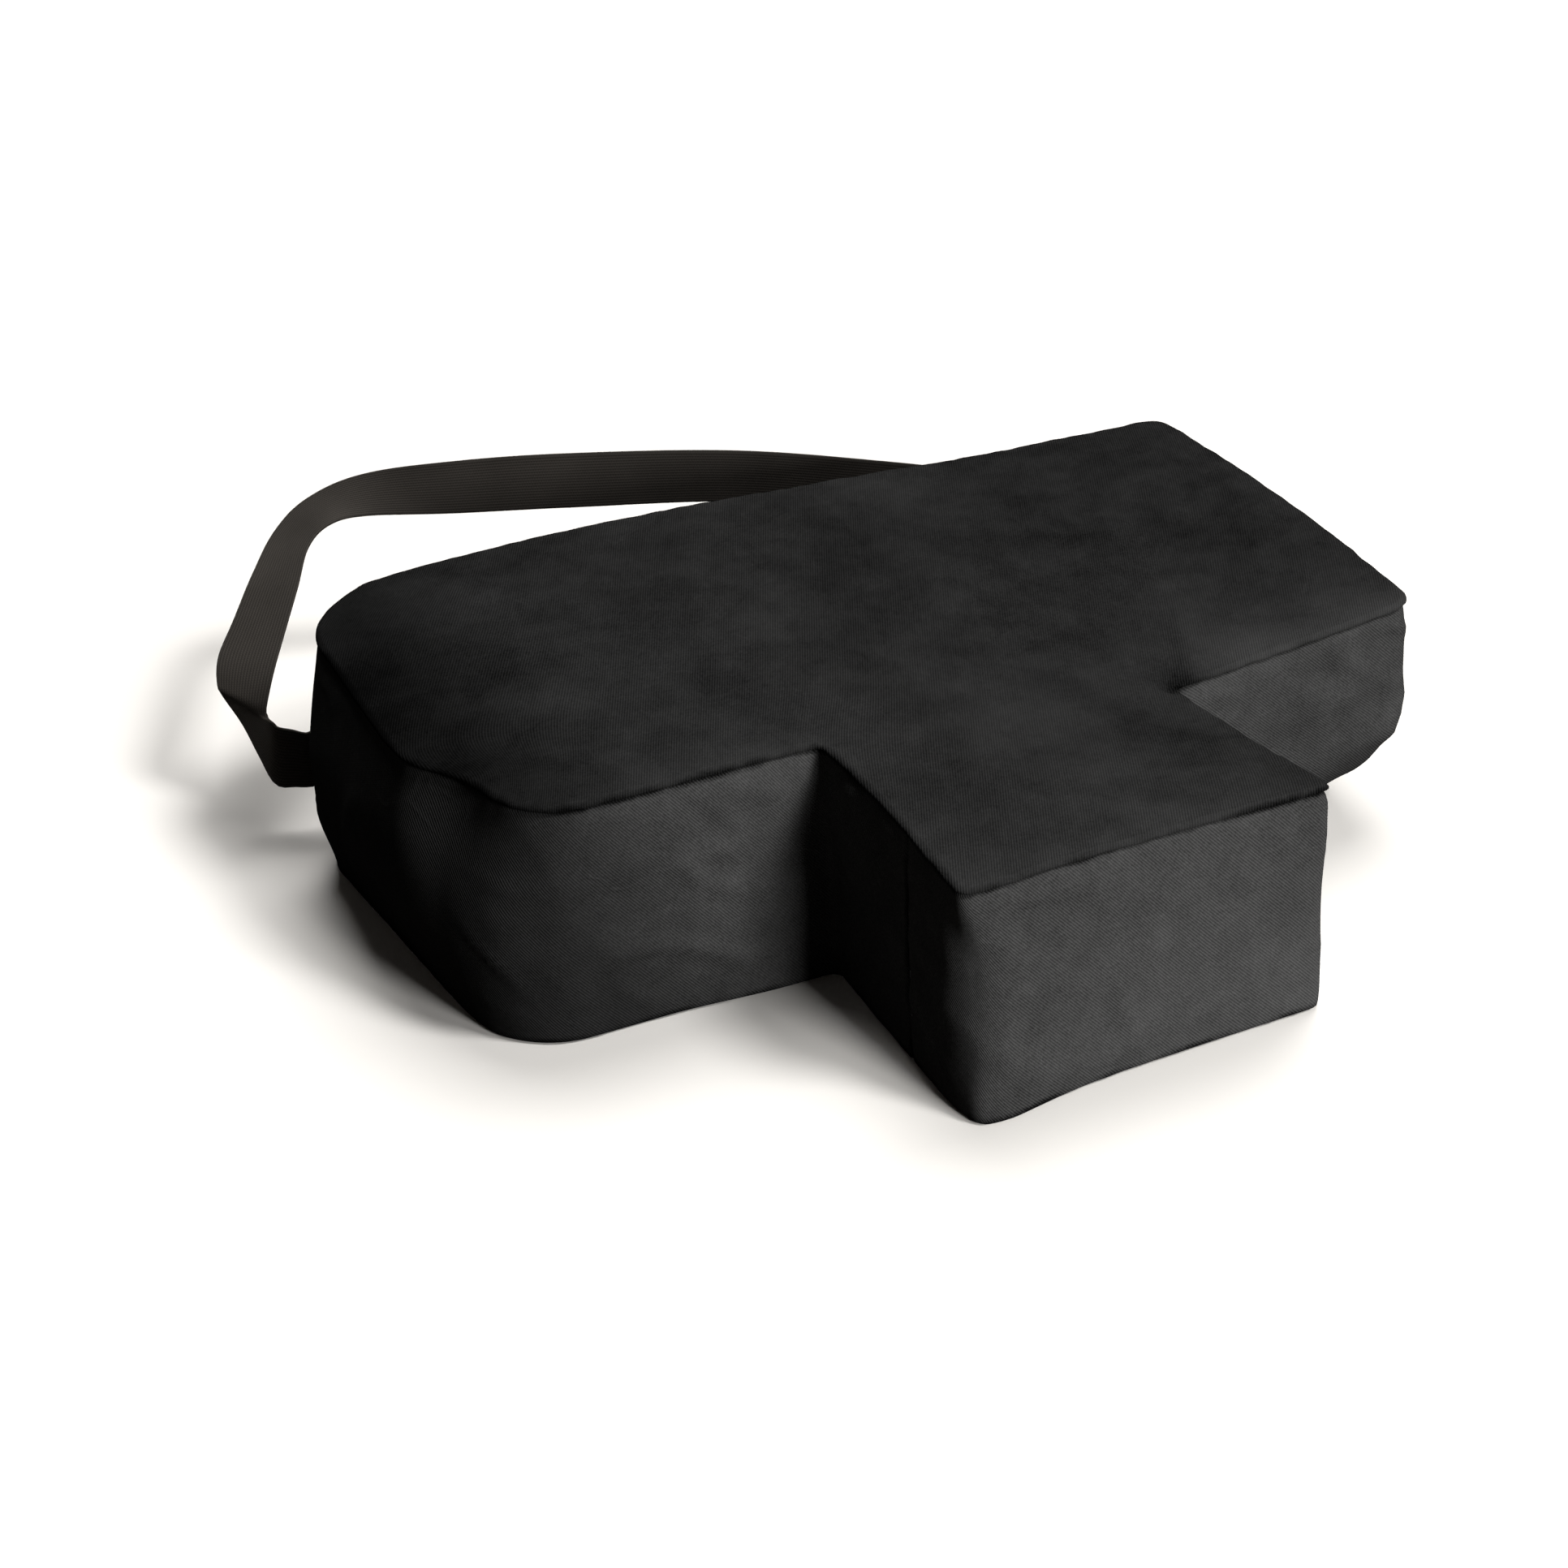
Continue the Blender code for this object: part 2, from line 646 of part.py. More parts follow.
def build_lining():
    """Light-tight lining, the light flap behind the zip and the bound seams inside."""
    loop = t_outline(LINING_IN)
    ceiling = BAG_HEIGHT - CHAMBER_IN
    place(outline_solid("bottom_lining", [loop], LINING_IN, CHAMBER_IN), BLACK_LINING, 0.8)
    top = outline_solid("top_lining", [loop], ceiling, BAG_HEIGHT - LINING_IN)
    place(top, BLACK_LINING, 0.8)
    low = CHAMBER_IN + GAP
    high = ceiling - GAP
    sides = wall("side_lining", whole_run, LINING_IN, CHAMBER_IN, low, high)
    place(sides, BLACK_LINING, 0.8)
    left = LEFT + BACK_RETURN + GAP
    right = RIGHT - BACK_RETURN - GAP
    loops = [rectangle(left, low, right, ZIP_HEIGHT - ZIP_SLOT / 2)]
    for side in (-1, 1):
        loops.append(oval(side * ARM_OFFSET, ARM_HEIGHT, ARM_WIDE + ARM_CLEAR, ARM_HIGH + ARM_CLEAR))
    back = outline_solid("back_lining", loops, BACK - CHAMBER_IN, BACK - LINING_IN, True)
    place(back, BLACK_LINING, 0.8)
    flap_y = BACK - CHAMBER_IN - GAP - LINING / 2
    flap_z = high - FLAP_TOP
    flap = block(
        "light_flap",
        (left + FLAP_SIDE, flap_y - LINING / 2, flap_z - FLAP_DROP),
        (right - FLAP_SIDE, flap_y + LINING / 2, flap_z),
        (0.0, flap_y, flap_z),
    )
    place(flap, BLACK_LINING, 0.8)
    outside = CHAMBER_IN + GAP
    inside = outside + BINDING
    bindings = {
        "top_binding": (high - BINDING_HEIGHT, high),
        "bottom_binding": (low, low + BINDING_HEIGHT),
    }
    for name, (start, end) in bindings.items():
        place(wall(name, whole_run, outside, inside, start, end), BLACK_TAPE, 0.8)


def build_zip():
    """Zip: two tapes, two rows of teeth, two stops, the slider and its pull."""
    start = LEFT + BACK_RETURN + ZIP_END
    end = RIGHT - BACK_RETURN - ZIP_END
    tape_y = BACK - BOARD_IN
    tooth_y = BACK - CLOTH
    half = CHAIN_SPLIT / 2
    for name, side in (("upper", 1), ("lower", -1)):
        near = ZIP_HEIGHT + side * half
        far = ZIP_HEIGHT + side * (half + TAPE_WIDTH)
        low, high = sorted((near, far))
        tape = block(f"zip_tape_{name}", (start, tape_y - TAPE, low), (end, tape_y, high))
        place(tape, BLACK_TAPE, 0.85)
        far = ZIP_HEIGHT + side * CHAIN_HALF
        low, high = sorted((near, far))
        first = start + STOP_LENGTH + 2 * GAP
        last = end - STOP_LENGTH - 2 * GAP
        teeth = block(
            f"zip_teeth_{name}", (first, tooth_y, low), (last, tooth_y + CHAIN_DEPTH, high)
        )
        place(teeth, BLACK_NYLON, 0.4)
    for name, left in (("left", start), ("right", end - STOP_LENGTH)):
        stop = block(
            f"zip_stop_{name}",
            (left, tooth_y, ZIP_HEIGHT - CHAIN_HALF),
            (left + STOP_LENGTH, tooth_y + CHAIN_DEPTH, ZIP_HEIGHT + CHAIN_HALF),
        )
        place(stop, DARK_METAL, 0.4, 1.0)
    build_slider(end - STOP_LENGTH - 3 * GAP - SLIDER_LENGTH / 2)


def build_slider(middle):
    """Slider at the closed end of the zip, and the pull that turns under its arch."""
    reach = SLIDER_LENGTH / 2
    half = SLIDER_WIDTH / 2
    plate_y = BACK - CLOTH + CHAIN_DEPTH + GAP
    top_y = plate_y + SLIDER_PLATE
    behind_y = BACK - BOARD_IN - TAPE - GAP
    slider = block(
        "zip_slider",
        (middle - reach, plate_y, ZIP_HEIGHT - half),
        (middle + reach, top_y, ZIP_HEIGHT + half),
        (middle, plate_y, ZIP_HEIGHT),
    )
    behind = block(
        "slider_back_plate",
        (middle - reach, behind_y - SLIDER_BACK, ZIP_HEIGHT - half),
        (middle + reach, behind_y, ZIP_HEIGHT + half),
    )
    neck_half = CHAIN_SPLIT / 2 - GAP
    neck = block(
        "slider_neck",
        (middle + NECK_START, behind_y - SLIDER_WELD, ZIP_HEIGHT - neck_half),
        (middle + NECK_START + NECK_LENGTH, plate_y + SLIDER_WELD, ZIP_HEIGHT + neck_half),
    )
    legs = SLIDER_LENGTH / 2 - ARCH_IN
    arch_top = top_y + ARCH_RISE
    loop = [
        (middle - legs, top_y - SLIDER_WELD),
        (middle - legs, arch_top),
        (middle + legs, arch_top),
        (middle + legs, top_y - SLIDER_WELD),
        (middle + legs - ARCH_BAR, top_y - SLIDER_WELD),
        (middle + legs - ARCH_BAR, arch_top - ARCH_BAR),
        (middle - legs + ARCH_BAR, arch_top - ARCH_BAR),
        (middle - legs + ARCH_BAR, top_y - SLIDER_WELD),
    ]
    across = ARCH_WIDE / 2
    arch = outline_solid("slider_arch", [loop], ZIP_HEIGHT - across, ZIP_HEIGHT + across)
    for other in (neck, behind, as_mesh(arch)):
        add_union(slider, other)
    place(slider, DARK_METAL, 0.35, 1.0)
    pull_y = top_y + (ARCH_RISE - ARCH_BAR) / 2
    wide = PULL_WIDTH / 2
    bar = PULL_THICK / 2
    outside = [
        (middle + bar, ZIP_HEIGHT - wide + PULL_TAPER, 0.0),
        (middle + bar, ZIP_HEIGHT + wide - PULL_TAPER, 0.0),
        (middle - PULL_NECK, ZIP_HEIGHT + wide, 0.0),
        (middle - PULL_LENGTH, ZIP_HEIGHT + wide, PULL_RADIUS),
        (middle - PULL_LENGTH, ZIP_HEIGHT - wide, PULL_RADIUS),
        (middle - PULL_NECK, ZIP_HEIGHT - wide, 0.0),
    ]
    eye = PULL_EYE / 2
    slot = rectangle(
        middle - bar - PULL_SLOT, ZIP_HEIGHT - eye, middle - bar, ZIP_HEIGHT + eye
    )
    pull = as_mesh(
        outline_solid(
            "zip_pull",
            [rounded(outside, closed=True), slot],
            pull_y - PULL_THICK / 2,
            pull_y + PULL_THICK / 2,
            True,
        )
    )
    pivot = Vector((middle, pull_y, ZIP_HEIGHT))
    pull.data.transform(Matrix.Translation(-pivot))
    pull.location = pivot
    place(pull, DARK_METAL, 0.3, 1.0)


def build_sleeves():
    """Two arm sleeves tucked into the bag, their elastic cuffs and the bindings of the arm holes."""
    cuff_start = 1 - CUFF_LENGTH / SLEEVE_LENGTH
    cuff_end = 1 - CUFF_SETBACK / SLEEVE_LENGTH
    clear = SLEEVE_CLOTH / 2 + GAP + CUFF_ELASTIC / 2
    for name, side in (("left", -1), ("right", 1)):
        middle = side * ARM_OFFSET
        sleeve = oval_tube(f"{name}_sleeve", middle, 0.0, 1.0, 0.0, SLEEVE_CLOTH)
        place(sleeve, BLACK_LINING, 0.85)
        cuff = oval_tube(f"{name}_cuff", middle, cuff_start, cuff_end, clear, CUFF_ELASTIC)
        place(cuff, BLACK_TAPE, 0.8)
        inner = oval(middle, ARM_HEIGHT, ARM_WIDE + ARM_CLEAR, ARM_HIGH + ARM_CLEAR)
        outer = oval(middle, ARM_HEIGHT, ARM_WIDE + 2 * ARM_BINDING, ARM_HIGH + 2 * ARM_BINDING)
        ring = outline_solid(
            f"{name}_arm_binding", [outer, inner], BACK + GAP, BACK + GAP + BINDING, True
        )
        place(ring, BLACK_TAPE, 0.8)


def build_strap():
    """Elastic strap, the two tabs by which it is sewn into the back seams, and their stitching."""
    near = BACK + GAP
    far = near + STRAP_THICK
    low = STRAP_HEIGHT - STRAP_WIDTH / 2
    high = STRAP_HEIGHT + STRAP_WIDTH / 2
    outer = BACK_RETURN + TAB_OVER_SEAM
    sewn = BACK_RETURN + TACK_FROM_SEAM
    tabs = {
        "left": (LEFT - TAB_PAST_END, LEFT + outer, LEFT + sewn),
        "right": (RIGHT - outer, RIGHT + TAB_PAST_END, RIGHT - sewn),
    }
    for name, (start, end, tack) in tabs.items():
        tab = block(f"{name}_strap_tab", (start, near, low), (end, far, high))
        place(tab, BROWN_ELASTIC, 0.85)
        stitch = block(
            f"{name}_bar_tack",
            (tack - TACK_WIDTH / 2, far + GAP, low + TACK_FROM_EDGE),
            (tack + TACK_WIDTH / 2, far + GAP + TACK_THICK, high - TACK_FROM_EDGE),
        )
        place(stitch, BLACK_THREAD, 0.6)
    pivot = (0.0, near + STRAP_THICK / 2, STRAP_HEIGHT)
    strap = ribbon("strap", strap_stations(), STRAP_WIDTH, STRAP_THICK, STRAP_STEPS, pivot)
    place(strap, BROWN_ELASTIC, 0.85)


clear_scene()
PARTS = collection("film_changing_bag")
HELPERS = collection("helpers")
build_cover()
build_boards()
build_lining()
build_zip()
build_sleeves()
build_strap()
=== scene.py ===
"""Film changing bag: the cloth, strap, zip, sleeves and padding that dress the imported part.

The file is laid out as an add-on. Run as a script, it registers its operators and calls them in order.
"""

import math

import bpy
import numpy as np
from bpy.props import FloatProperty, FloatVectorProperty, IntProperty, PointerProperty
from mathutils import Matrix, Vector, geometry, noise


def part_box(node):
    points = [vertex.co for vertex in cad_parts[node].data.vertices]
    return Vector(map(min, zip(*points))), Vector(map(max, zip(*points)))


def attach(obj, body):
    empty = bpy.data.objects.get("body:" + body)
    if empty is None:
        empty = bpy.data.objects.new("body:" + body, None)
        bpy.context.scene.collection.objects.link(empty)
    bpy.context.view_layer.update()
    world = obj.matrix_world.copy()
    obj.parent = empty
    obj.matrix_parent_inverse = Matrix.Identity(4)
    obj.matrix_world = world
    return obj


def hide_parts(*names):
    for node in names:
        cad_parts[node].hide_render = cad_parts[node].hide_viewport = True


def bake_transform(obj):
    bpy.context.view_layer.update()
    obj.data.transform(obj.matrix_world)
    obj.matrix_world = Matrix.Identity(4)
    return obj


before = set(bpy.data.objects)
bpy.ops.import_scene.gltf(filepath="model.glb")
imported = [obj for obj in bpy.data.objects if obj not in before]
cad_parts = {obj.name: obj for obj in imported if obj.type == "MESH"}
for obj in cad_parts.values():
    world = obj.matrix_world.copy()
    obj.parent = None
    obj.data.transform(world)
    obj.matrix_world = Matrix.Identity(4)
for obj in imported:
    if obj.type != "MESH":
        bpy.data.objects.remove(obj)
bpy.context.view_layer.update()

bl_info = {
    "name": "Film changing bag",
    "version": (1, 0, 0),
    "blender": (4, 5, 0),
    "location": "3D View > Sidebar > Bag",
    "description": "Sews the cloth cover, strap, zip and sleeves of a film changing bag round its frame",
    "category": "Object",
}

# Height of the top seam, thickness of the cover's solids, and how far before the bar the stem's join lies.
HEIGHT = 0.112
WALL = 0.0015
JOIN_AHEAD = 0.072

# Edges of the bag's plan, its back seams and the swell of its ends, read from the frame.
TOP_LOW, TOP_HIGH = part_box("top_cover")
LEFT = TOP_LOW.x
RIGHT = TOP_HIGH.x
BACK = TOP_HIGH.y
STEM_FRONT = TOP_LOW.y
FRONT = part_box("front_left_board")[0].y - WALL
STEM_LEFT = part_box("stem_left_board")[0].x - WALL
STEM_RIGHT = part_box("stem_right_board")[1].x + WALL
LEFT_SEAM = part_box("back_panel")[0].x
RIGHT_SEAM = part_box("back_panel")[1].x
JOIN = FRONT - JOIN_AHEAD
LEFT_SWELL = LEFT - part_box("left_boxing")[0].x
RIGHT_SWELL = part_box("right_boxing")[1].x - RIGHT

# Corner radii of the plan, and of the stem's left upright edge below its seam.
BACK_LEFT_RADIUS = 0.034
FRONT_LEFT_RADIUS = 0.042
FRONT_RIGHT_RADIUS = 0.012
BACK_RIGHT_RADIUS = 0.009
STEM_RADIUS = 0.0056
INNER_RADIUS = 0.004
STEM_FOOT_RADIUS = 0.024

# Edges of the panels: the bottom's roll and inset, the gap under the top's roll, how far from a seam creases
# and drag lines fade out, the least radius of any corner and of one of the top and bottom, and the back's
# turned edges as inset and depth.
FOOT_ROLL = 0.0010
FOOT_INSET = 0.0013
SEAM_GAP = 0.0010
SEAM_FADE = 0.006
LEAST_RADIUS = 0.0012
PANEL_RADIUS = 0.0055
EDGE_PROFILE = (
    (0.0, -0.0013),
    (0.0001, -0.0008),
    (0.0004, -0.0003),
    (0.0010, 0.0),
)

# Distance between the points of an outline, between the columns of a side and of an inner layer, and between
# the points of a layer's T.
OUTLINE_STEP = 0.0026
COLUMN_STEP = 0.003
LAYER_STEP = 0.006
T_STEP = 0.009

# How the twill's ridges are turned, in radians, and how far from a seam a plain surface counts as lying.
TOP_WEAVE = -0.42
SIDE_WEAVE = 0.72
FAR_FROM_SEAM = 0.02

# Half the width and height of a sleeve's narrow end, and the ease between an arm hole and what is sewn to it.
SLEEVE_END = (0.030, 0.024)
SLEEVE_EASE = 0.0006

# Radius of the sewing thread on the zip and bindings, how far its stitches bow off the cloth, and its sides.
THREAD_RADIUS = 0.00026
STITCH_LIFT = 0.0003
THREAD_SIDES = 6

# The stuffing lifts the top most at one place of the plan, and less over these distances from it.
RISE_X = -0.110
RISE_Y = 0.100
RISE_ALONG = 0.200
RISE_DEEP = 0.260

# The seams pull the right inner corner down in a cone of this reach with a rounded point, and the stem's left
# corner by a small dip.
DIP_REACH = 0.125
DIP_ROUND = 0.006
STEM_DIP = 0.003

# How far slack cloth moves from the plain pattern: the front left corner at its top, the feet of the right
# end and of the bar's two arms, the lift of the right front corner, and the stem's foot at its two corners.
CORNER_PINCH = 0.0080
CORNER_PULL = 0.004
RIGHT_END_TUCK = 0.012
RIGHT_ARM_TUCK = 0.014
LEFT_ARM_TUCK = 0.004
RIGHT_CORNER_LIFT = 0.020
STEM_LEFT_OUT = 0.010
STEM_RIGHT_BACK = 0.002

# Creases in the top, as start, end, width and depth. They run out from the inner corners and the seams.
CREASES = (
    ((-0.073, -0.117), (-0.042, -0.126), 0.0024, 0.0016),
    ((-0.073, -0.117), (-0.060, -0.070), 0.0060, 0.0014),
    ((0.099, -0.118), (0.128, -0.050), 0.0050, 0.0034),
    ((0.099, -0.118), (0.080, -0.060), 0.0080, 0.0020),
    ((0.099, -0.118), (0.150, -0.100), 0.0050, 0.0014),
    ((-0.202, -0.104), (-0.165, -0.070), 0.0100, 0.0014),
    ((-0.222, -0.060), (-0.180, -0.045), 0.0080, 0.0010),
    ((-0.232, 0.085), (-0.196, 0.062), 0.0060, 0.0020),
)

# Height of the middle of the strap's tabs, and where its two edges pass, as x from the bag's end, y behind
# its back and z from that height.
STRAP_HEIGHT = 0.039
STRAP_LEFT = (
    ((-0.011, 0.002, -0.018), (-0.011, 0.002, 0.012)),
    ((-0.020, 0.004, -0.017), (-0.018, 0.003, 0.015)),
    ((-0.028, 0.009, -0.016), (-0.024, 0.005, 0.017)),
    ((-0.031, 0.022, -0.006), (-0.026, 0.007, 0.019)),
    ((-0.034, 0.036, 0.006), (-0.027, 0.011, 0.019)),
    ((-0.041, 0.040, 0.022), (-0.026, 0.016, 0.018)),
    ((-0.042, 0.044, 0.026), (-0.025, 0.019, 0.021)),
    ((-0.037, 0.056, 0.034), (-0.016, 0.033, 0.031)),
    ((-0.023, 0.076, 0.041), (-0.003, 0.053, 0.041)),
    ((-0.005, 0.104, 0.048), (0.012, 0.079, 0.049)),
    ((0.017, 0.137, 0.053), (0.028, 0.111, 0.054)),
    ((0.039, 0.150, 0.061), (0.043, 0.122, 0.058)),
    ((0.068, 0.144, 0.071), (0.063, 0.126, 0.056)),
    ((0.110, 0.121, 0.078), (0.106, 0.115, 0.052)),
    ((0.166, 0.103, 0.077), (0.164, 0.100, 0.048)),
)
STRAP_RIGHT = (
    ((-0.203, 0.080, 0.069), (-0.203, 0.082, 0.039)),
    ((-0.126, 0.058, 0.054), (-0.126, 0.059, 0.024)),
    ((-0.052, 0.050, 0.032), (-0.052, 0.050, 0.002)),
    ((0.000, 0.042, 0.020), (0.000, 0.042, -0.010)),
    ((0.018, 0.029, 0.016), (0.018, 0.029, -0.014)),
    ((0.020, 0.012, 0.015), (0.020, 0.012, -0.015)),
    ((0.013, 0.003, 0.015), (0.013, 0.003, -0.015)),
)


def length(name, about, value):
    """A size that a user would change, in metres."""
    return FloatProperty(name=name, description=about, default=value, min=0.0, unit="LENGTH", precision=5)


def colour(name, about, value):
    """A colour that a user would change."""
    return FloatVectorProperty(
        name=name, description=about, default=value, size=3, min=0.0, max=1.0, subtype="COLOR"
    )


class BagSizes(bpy.types.PropertyGroup):
    """Sizes of the bag's sewn pieces."""

    cloth: length("Cloth", "Thickness of the outer twill", 0.0011)
    mesh_step: length("Mesh step", "Distance between the points of the cloth", 0.0034)
    seam_roll: length("Seam roll", "Radius at which a panel rolls into its seam", 0.0013)
    seam_groove: length("Seam groove", "Depth of the groove between two panels", 0.0024)
    left_bow: length("Left bow", "How far the left end bows out in plan", 0.0125)
    right_bow: length("Right bow", "How far the right end bows out in plan", 0.005)
    top_rise: length("Top rise", "How far the stuffing lifts the top where it is fullest", 0.014)
    corner_dip: length("Corner dip", "How far the seams pull down the right inner corner", 0.014)
    lump: length("Lumps", "Height of the soft lumps in the cloth", 0.0014)
    pillow: length("Pillow", "How far the top swells between its seams", 0.0020)
    pucker: length("Puckers", "Height of the small puckers along the seams", 0.0007)
    gather: length("Gathers", "Height of the gathers in the seam of the front left corner", 0.0003)
    crack: length("Seam cracks", "How far the seams open in places", 0.0024)
    drag: length("Drag lines", "Height of the slanted drag lines in the sides", 0.0024)
    fold: length("Folds", "Depth of the upright folds below the front left corner", 0.0003)
    twill_pitch: length("Twill pitch", "Distance between the ridges of the twill", 0.0011)
    strap_width: length("Strap width", "Width of the elastic strap", 0.030)
    strap_thick: length("Strap thickness", "Thickness of the elastic strap", 0.0018)
    strap_ribs: IntProperty(
        name="Strap ribs", description="Ribs across the elastic strap", default=20, min=4, max=60
    )
    tooth_pitch: length("Tooth pitch", "Distance between the teeth of the zip", 0.0020)


class BagColours(bpy.types.PropertyGroup):
    """Colours of the bag's finishes."""

    twill: colour("Twill", "Black twill of the cover", (0.062, 0.0615, 0.0607))
    elastic: colour("Elastic", "Brown-black elastic of the strap", (0.0395, 0.0352, 0.031))
    lining: colour("Lining", "Light-tight lining and sleeves", (0.012, 0.012, 0.013))
    foam: colour("Foam", "Foam of the boards and pads", (0.10, 0.10, 0.11))
    tape: colour("Tape", "Woven tape of the zip and bindings", (0.017, 0.017, 0.018))
    nylon: colour("Nylon", "Teeth of the zip", (0.026, 0.026, 0.028))
    metal: colour("Metal", "Slider, pull and stops", (0.16, 0.16, 0.17))
    thread: colour("Thread", "Sewing thread", (0.030, 0.029, 0.028))
    floor: colour("Floor", "Studio floor", (0.945, 0.915, 0.870))


class Value:
    """An output of a node, with arithmetic that adds Math nodes."""

    def __init__(self, finish, socket):
        self.finish = finish
        self.socket = socket

    def other(self, name):
        """Another output of the same node."""
        return Value(self.finish, self.socket.node.outputs[name])

    def math(self, operation, *values):
        """A Math node of this value and others."""
        return self.finish.node("ShaderNodeMath", {"operation": operation}, dict(enumerate((self, *values))))

    def __add__(self, value):
        return self.math("ADD", value)

    __radd__ = __add__

    def __mul__(self, value):
        return self.math("MULTIPLY", value)

    __rmul__ = __mul__

    def __sub__(self, value):
        return self.math("SUBTRACT", value)

    def __rsub__(self, value):
        return self * -1.0 + value

    def __truediv__(self, value):
        return self.math("DIVIDE", value)

    def __rtruediv__(self, value):
        return self.finish.node("ShaderNodeMath", {"operation": "DIVIDE"}, {0: value, 1: self})

    def wave(self):
        """A wave from 0 to 1 with a period of 1."""
        return (self * math.tau).math("SINE") * 0.5 + 0.5

    def clamped(self):
        """The value kept between 0 and 1."""
        return self.math("MINIMUM", 1.0).math("MAXIMUM", 0.0)


class Finish:
    """A material that is being put together from nodes."""

    def __init__(self, name, tree=None):
        if tree is None:
            self.material = bpy.data.materials.new(name)
            self.material.use_nodes = True
            tree = self.material.node_tree
        self.tree = tree

    def node(self, kind, settings=None, values=None, out=0):
        """Add a node, make its settings, then set or link its sockets."""
        made = self.tree.nodes.new(kind)
        for key, value in (settings or {}).items():
            if key == "stops":
                self.set_stops(made.color_ramp, value)
            else:
                setattr(made, key, value)
        for key, value in (values or {}).items():
            self.give(made.inputs[key], value)
        return Value(self, made.outputs[out])

    def give(self, socket, value):
        """Link a value to a socket, or set it."""
        if isinstance(value, Value):
            self.tree.links.new(value.socket, socket)
        else:
            socket.default_value = value

    def set_stops(self, ramp, stops):
        """Set the stops of a colour ramp, as place and colour."""
        while len(ramp.elements) < len(stops):
            ramp.elements.new(0.5)
        for element, (place, tint) in zip(ramp.elements, stops):
            element.position = place
            element.color = (*tint, 1.0)

    def shade(self, **sockets):
        """Set or link sockets of the surface shader, named in lower case."""
        shader = self.tree.nodes["Principled BSDF"]
        names = {key.name.lower().replace(" ", "_"): key for key in shader.inputs}
        for key, value in sockets.items():
            self.give(names[key], value)
        return self.material

    def noise(self, where, scale, detail=3.0, rough=0.55):
        """Cloudy noise from 0 to 1."""
        values = {"Vector": where, "Scale": scale, "Detail": detail, "Roughness": rough}
        return self.node("ShaderNodeTexNoise", None, values)

    def ramp(self, value, dark, light):
        """A colour between a dark and a light tint."""
        return self.node("ShaderNodeValToRGB", {"stops": ((0.0, dark), (1.0, light))}, {"Fac": value})

    def bump(self, height, strength, distance):
        """A surface normal that follows a height."""
        values = {"Strength": strength, "Distance": distance, "Height": height}
        return self.node("ShaderNodeBump", None, values)

    def place(self):
        """Place on the object, in metres."""
        return self.node("ShaderNodeTexCoord", None, None, "Object")

    def weave(self):
        """Place on the flat cloth, across and along its ridges, in metres, with painted light and shade as
        its third part.
        """
        where = self.node("ShaderNodeAttribute", {"attribute_name": "weave"}, None, "Vector")
        return self.node("ShaderNodeSeparateXYZ", None, {"Vector": where})

    def edge(self):
        """Distance from the nearest seam, in metres."""
        return self.node("ShaderNodeAttribute", {"attribute_name": "edge"}, None, "Fac")

    def shown(self):
        """1 for the rays that show the backdrop: from the camera, off gloss and through glass."""
        path = self.node("ShaderNodeLightPath", None, None, "Is Camera Ray")
        return (path + path.other("Is Glossy Ray") + path.other("Is Transmission Ray")).clamped()


def tinted(tint, share):
    """A colour made darker or lighter."""
    return tuple(min(1.0, part * share) for part in tint)


def twill_finish(painted_shade_share=1.0, mottle=0.45):
    """Black cotton twill: fine diagonal ridges, lint, a bloom of dust in patches, painted shade along the
    seams and towards the left end, and the painted light and shade that a piece carries.
    """
    sizes = bpy.context.scene.bag_sizes
    # A share below 1 darkens the whole piece as painted shade.
    tint = tinted(bpy.context.scene.bag_colours.twill, painted_shade_share)
    finish = Finish("black_twill")
    across = finish.weave()
    lengthwise = across.other("Y")
    row = across / sizes.twill_pitch
    ridge = row.wave()
    yarn = (lengthwise / (0.8 * sizes.twill_pitch) + row.math("FLOOR") * 0.37).wave()
    where = finish.place()
    cloud = finish.noise(where, 13.0, 5.0, 0.58)
    bloom = finish.noise(where, 70.0, 4.0, 0.65)
    lint = finish.noise(where, 750.0, 3.0, 0.75)
    fuzz = finish.noise(where, 1400.0, 2.0, 0.6)
    gape = ((finish.noise(where, 38.0, 2.0, 0.5) - 0.42) * 5.0).clamped()
    # Painted shade in the grooves of the seams, deeper where they gape.
    seam = (1.0 - finish.edge() / 0.0024).clamped() * (0.12 + 0.55 * gape)
    vein = (1.0 - (finish.noise(where, 26.0, 2.0, 0.5) - 0.5).math("ABSOLUTE") * 34.0).clamped()
    crease = vein * ((finish.noise(where, 19.0, 1.0, 0.5) - 0.5) * 9.0).clamped()
    patches = 0.35 + 0.2 * mottle
    level = 0.30 * ridge + 0.10 * ridge * yarn + mottle * cloud + patches * bloom + 0.30 * fuzz + 0.80 * lint
    # The weave's third part adds painted light and shade where a piece carries it.
    level = level + crease * 0.05 + across.other("Z") * 0.75 - seam - 0.5 * (mottle + patches) - 0.175
    # Painted shade: the cloth is darker towards the left end, on a slant that reaches further right near the
    # floor.
    spot = finish.node("ShaderNodeSeparateXYZ", None, {"Vector": where})
    from_left = (spot + spot.other("Z") * 0.42 - LEFT - 0.42 * HEIGHT - 0.016) / 0.062
    painted_left_shade = from_left.clamped().math("SMOOTH_MIN", 1.0, 0.3) * 0.62 + 0.38
    level = (level * painted_left_shade * 0.5).clamped()
    height = 0.7 * ridge + 0.35 * ridge * yarn + 0.35 * fuzz + 1.1 * crease
    return finish.shade(
        base_color=finish.ramp(level, tinted(tint, 0.12), tinted(tint, 3.08)),
        roughness=(0.80 + 0.16 * cloud),
        normal=finish.bump(height, 0.55, 0.00035),
        specular_ior_level=0.0,
    )


def top_twill_with_painted_shade():
    """The same twill, made darker by painted shade, and more mottled."""
    return twill_finish(painted_shade_share=0.30, mottle=1.25)


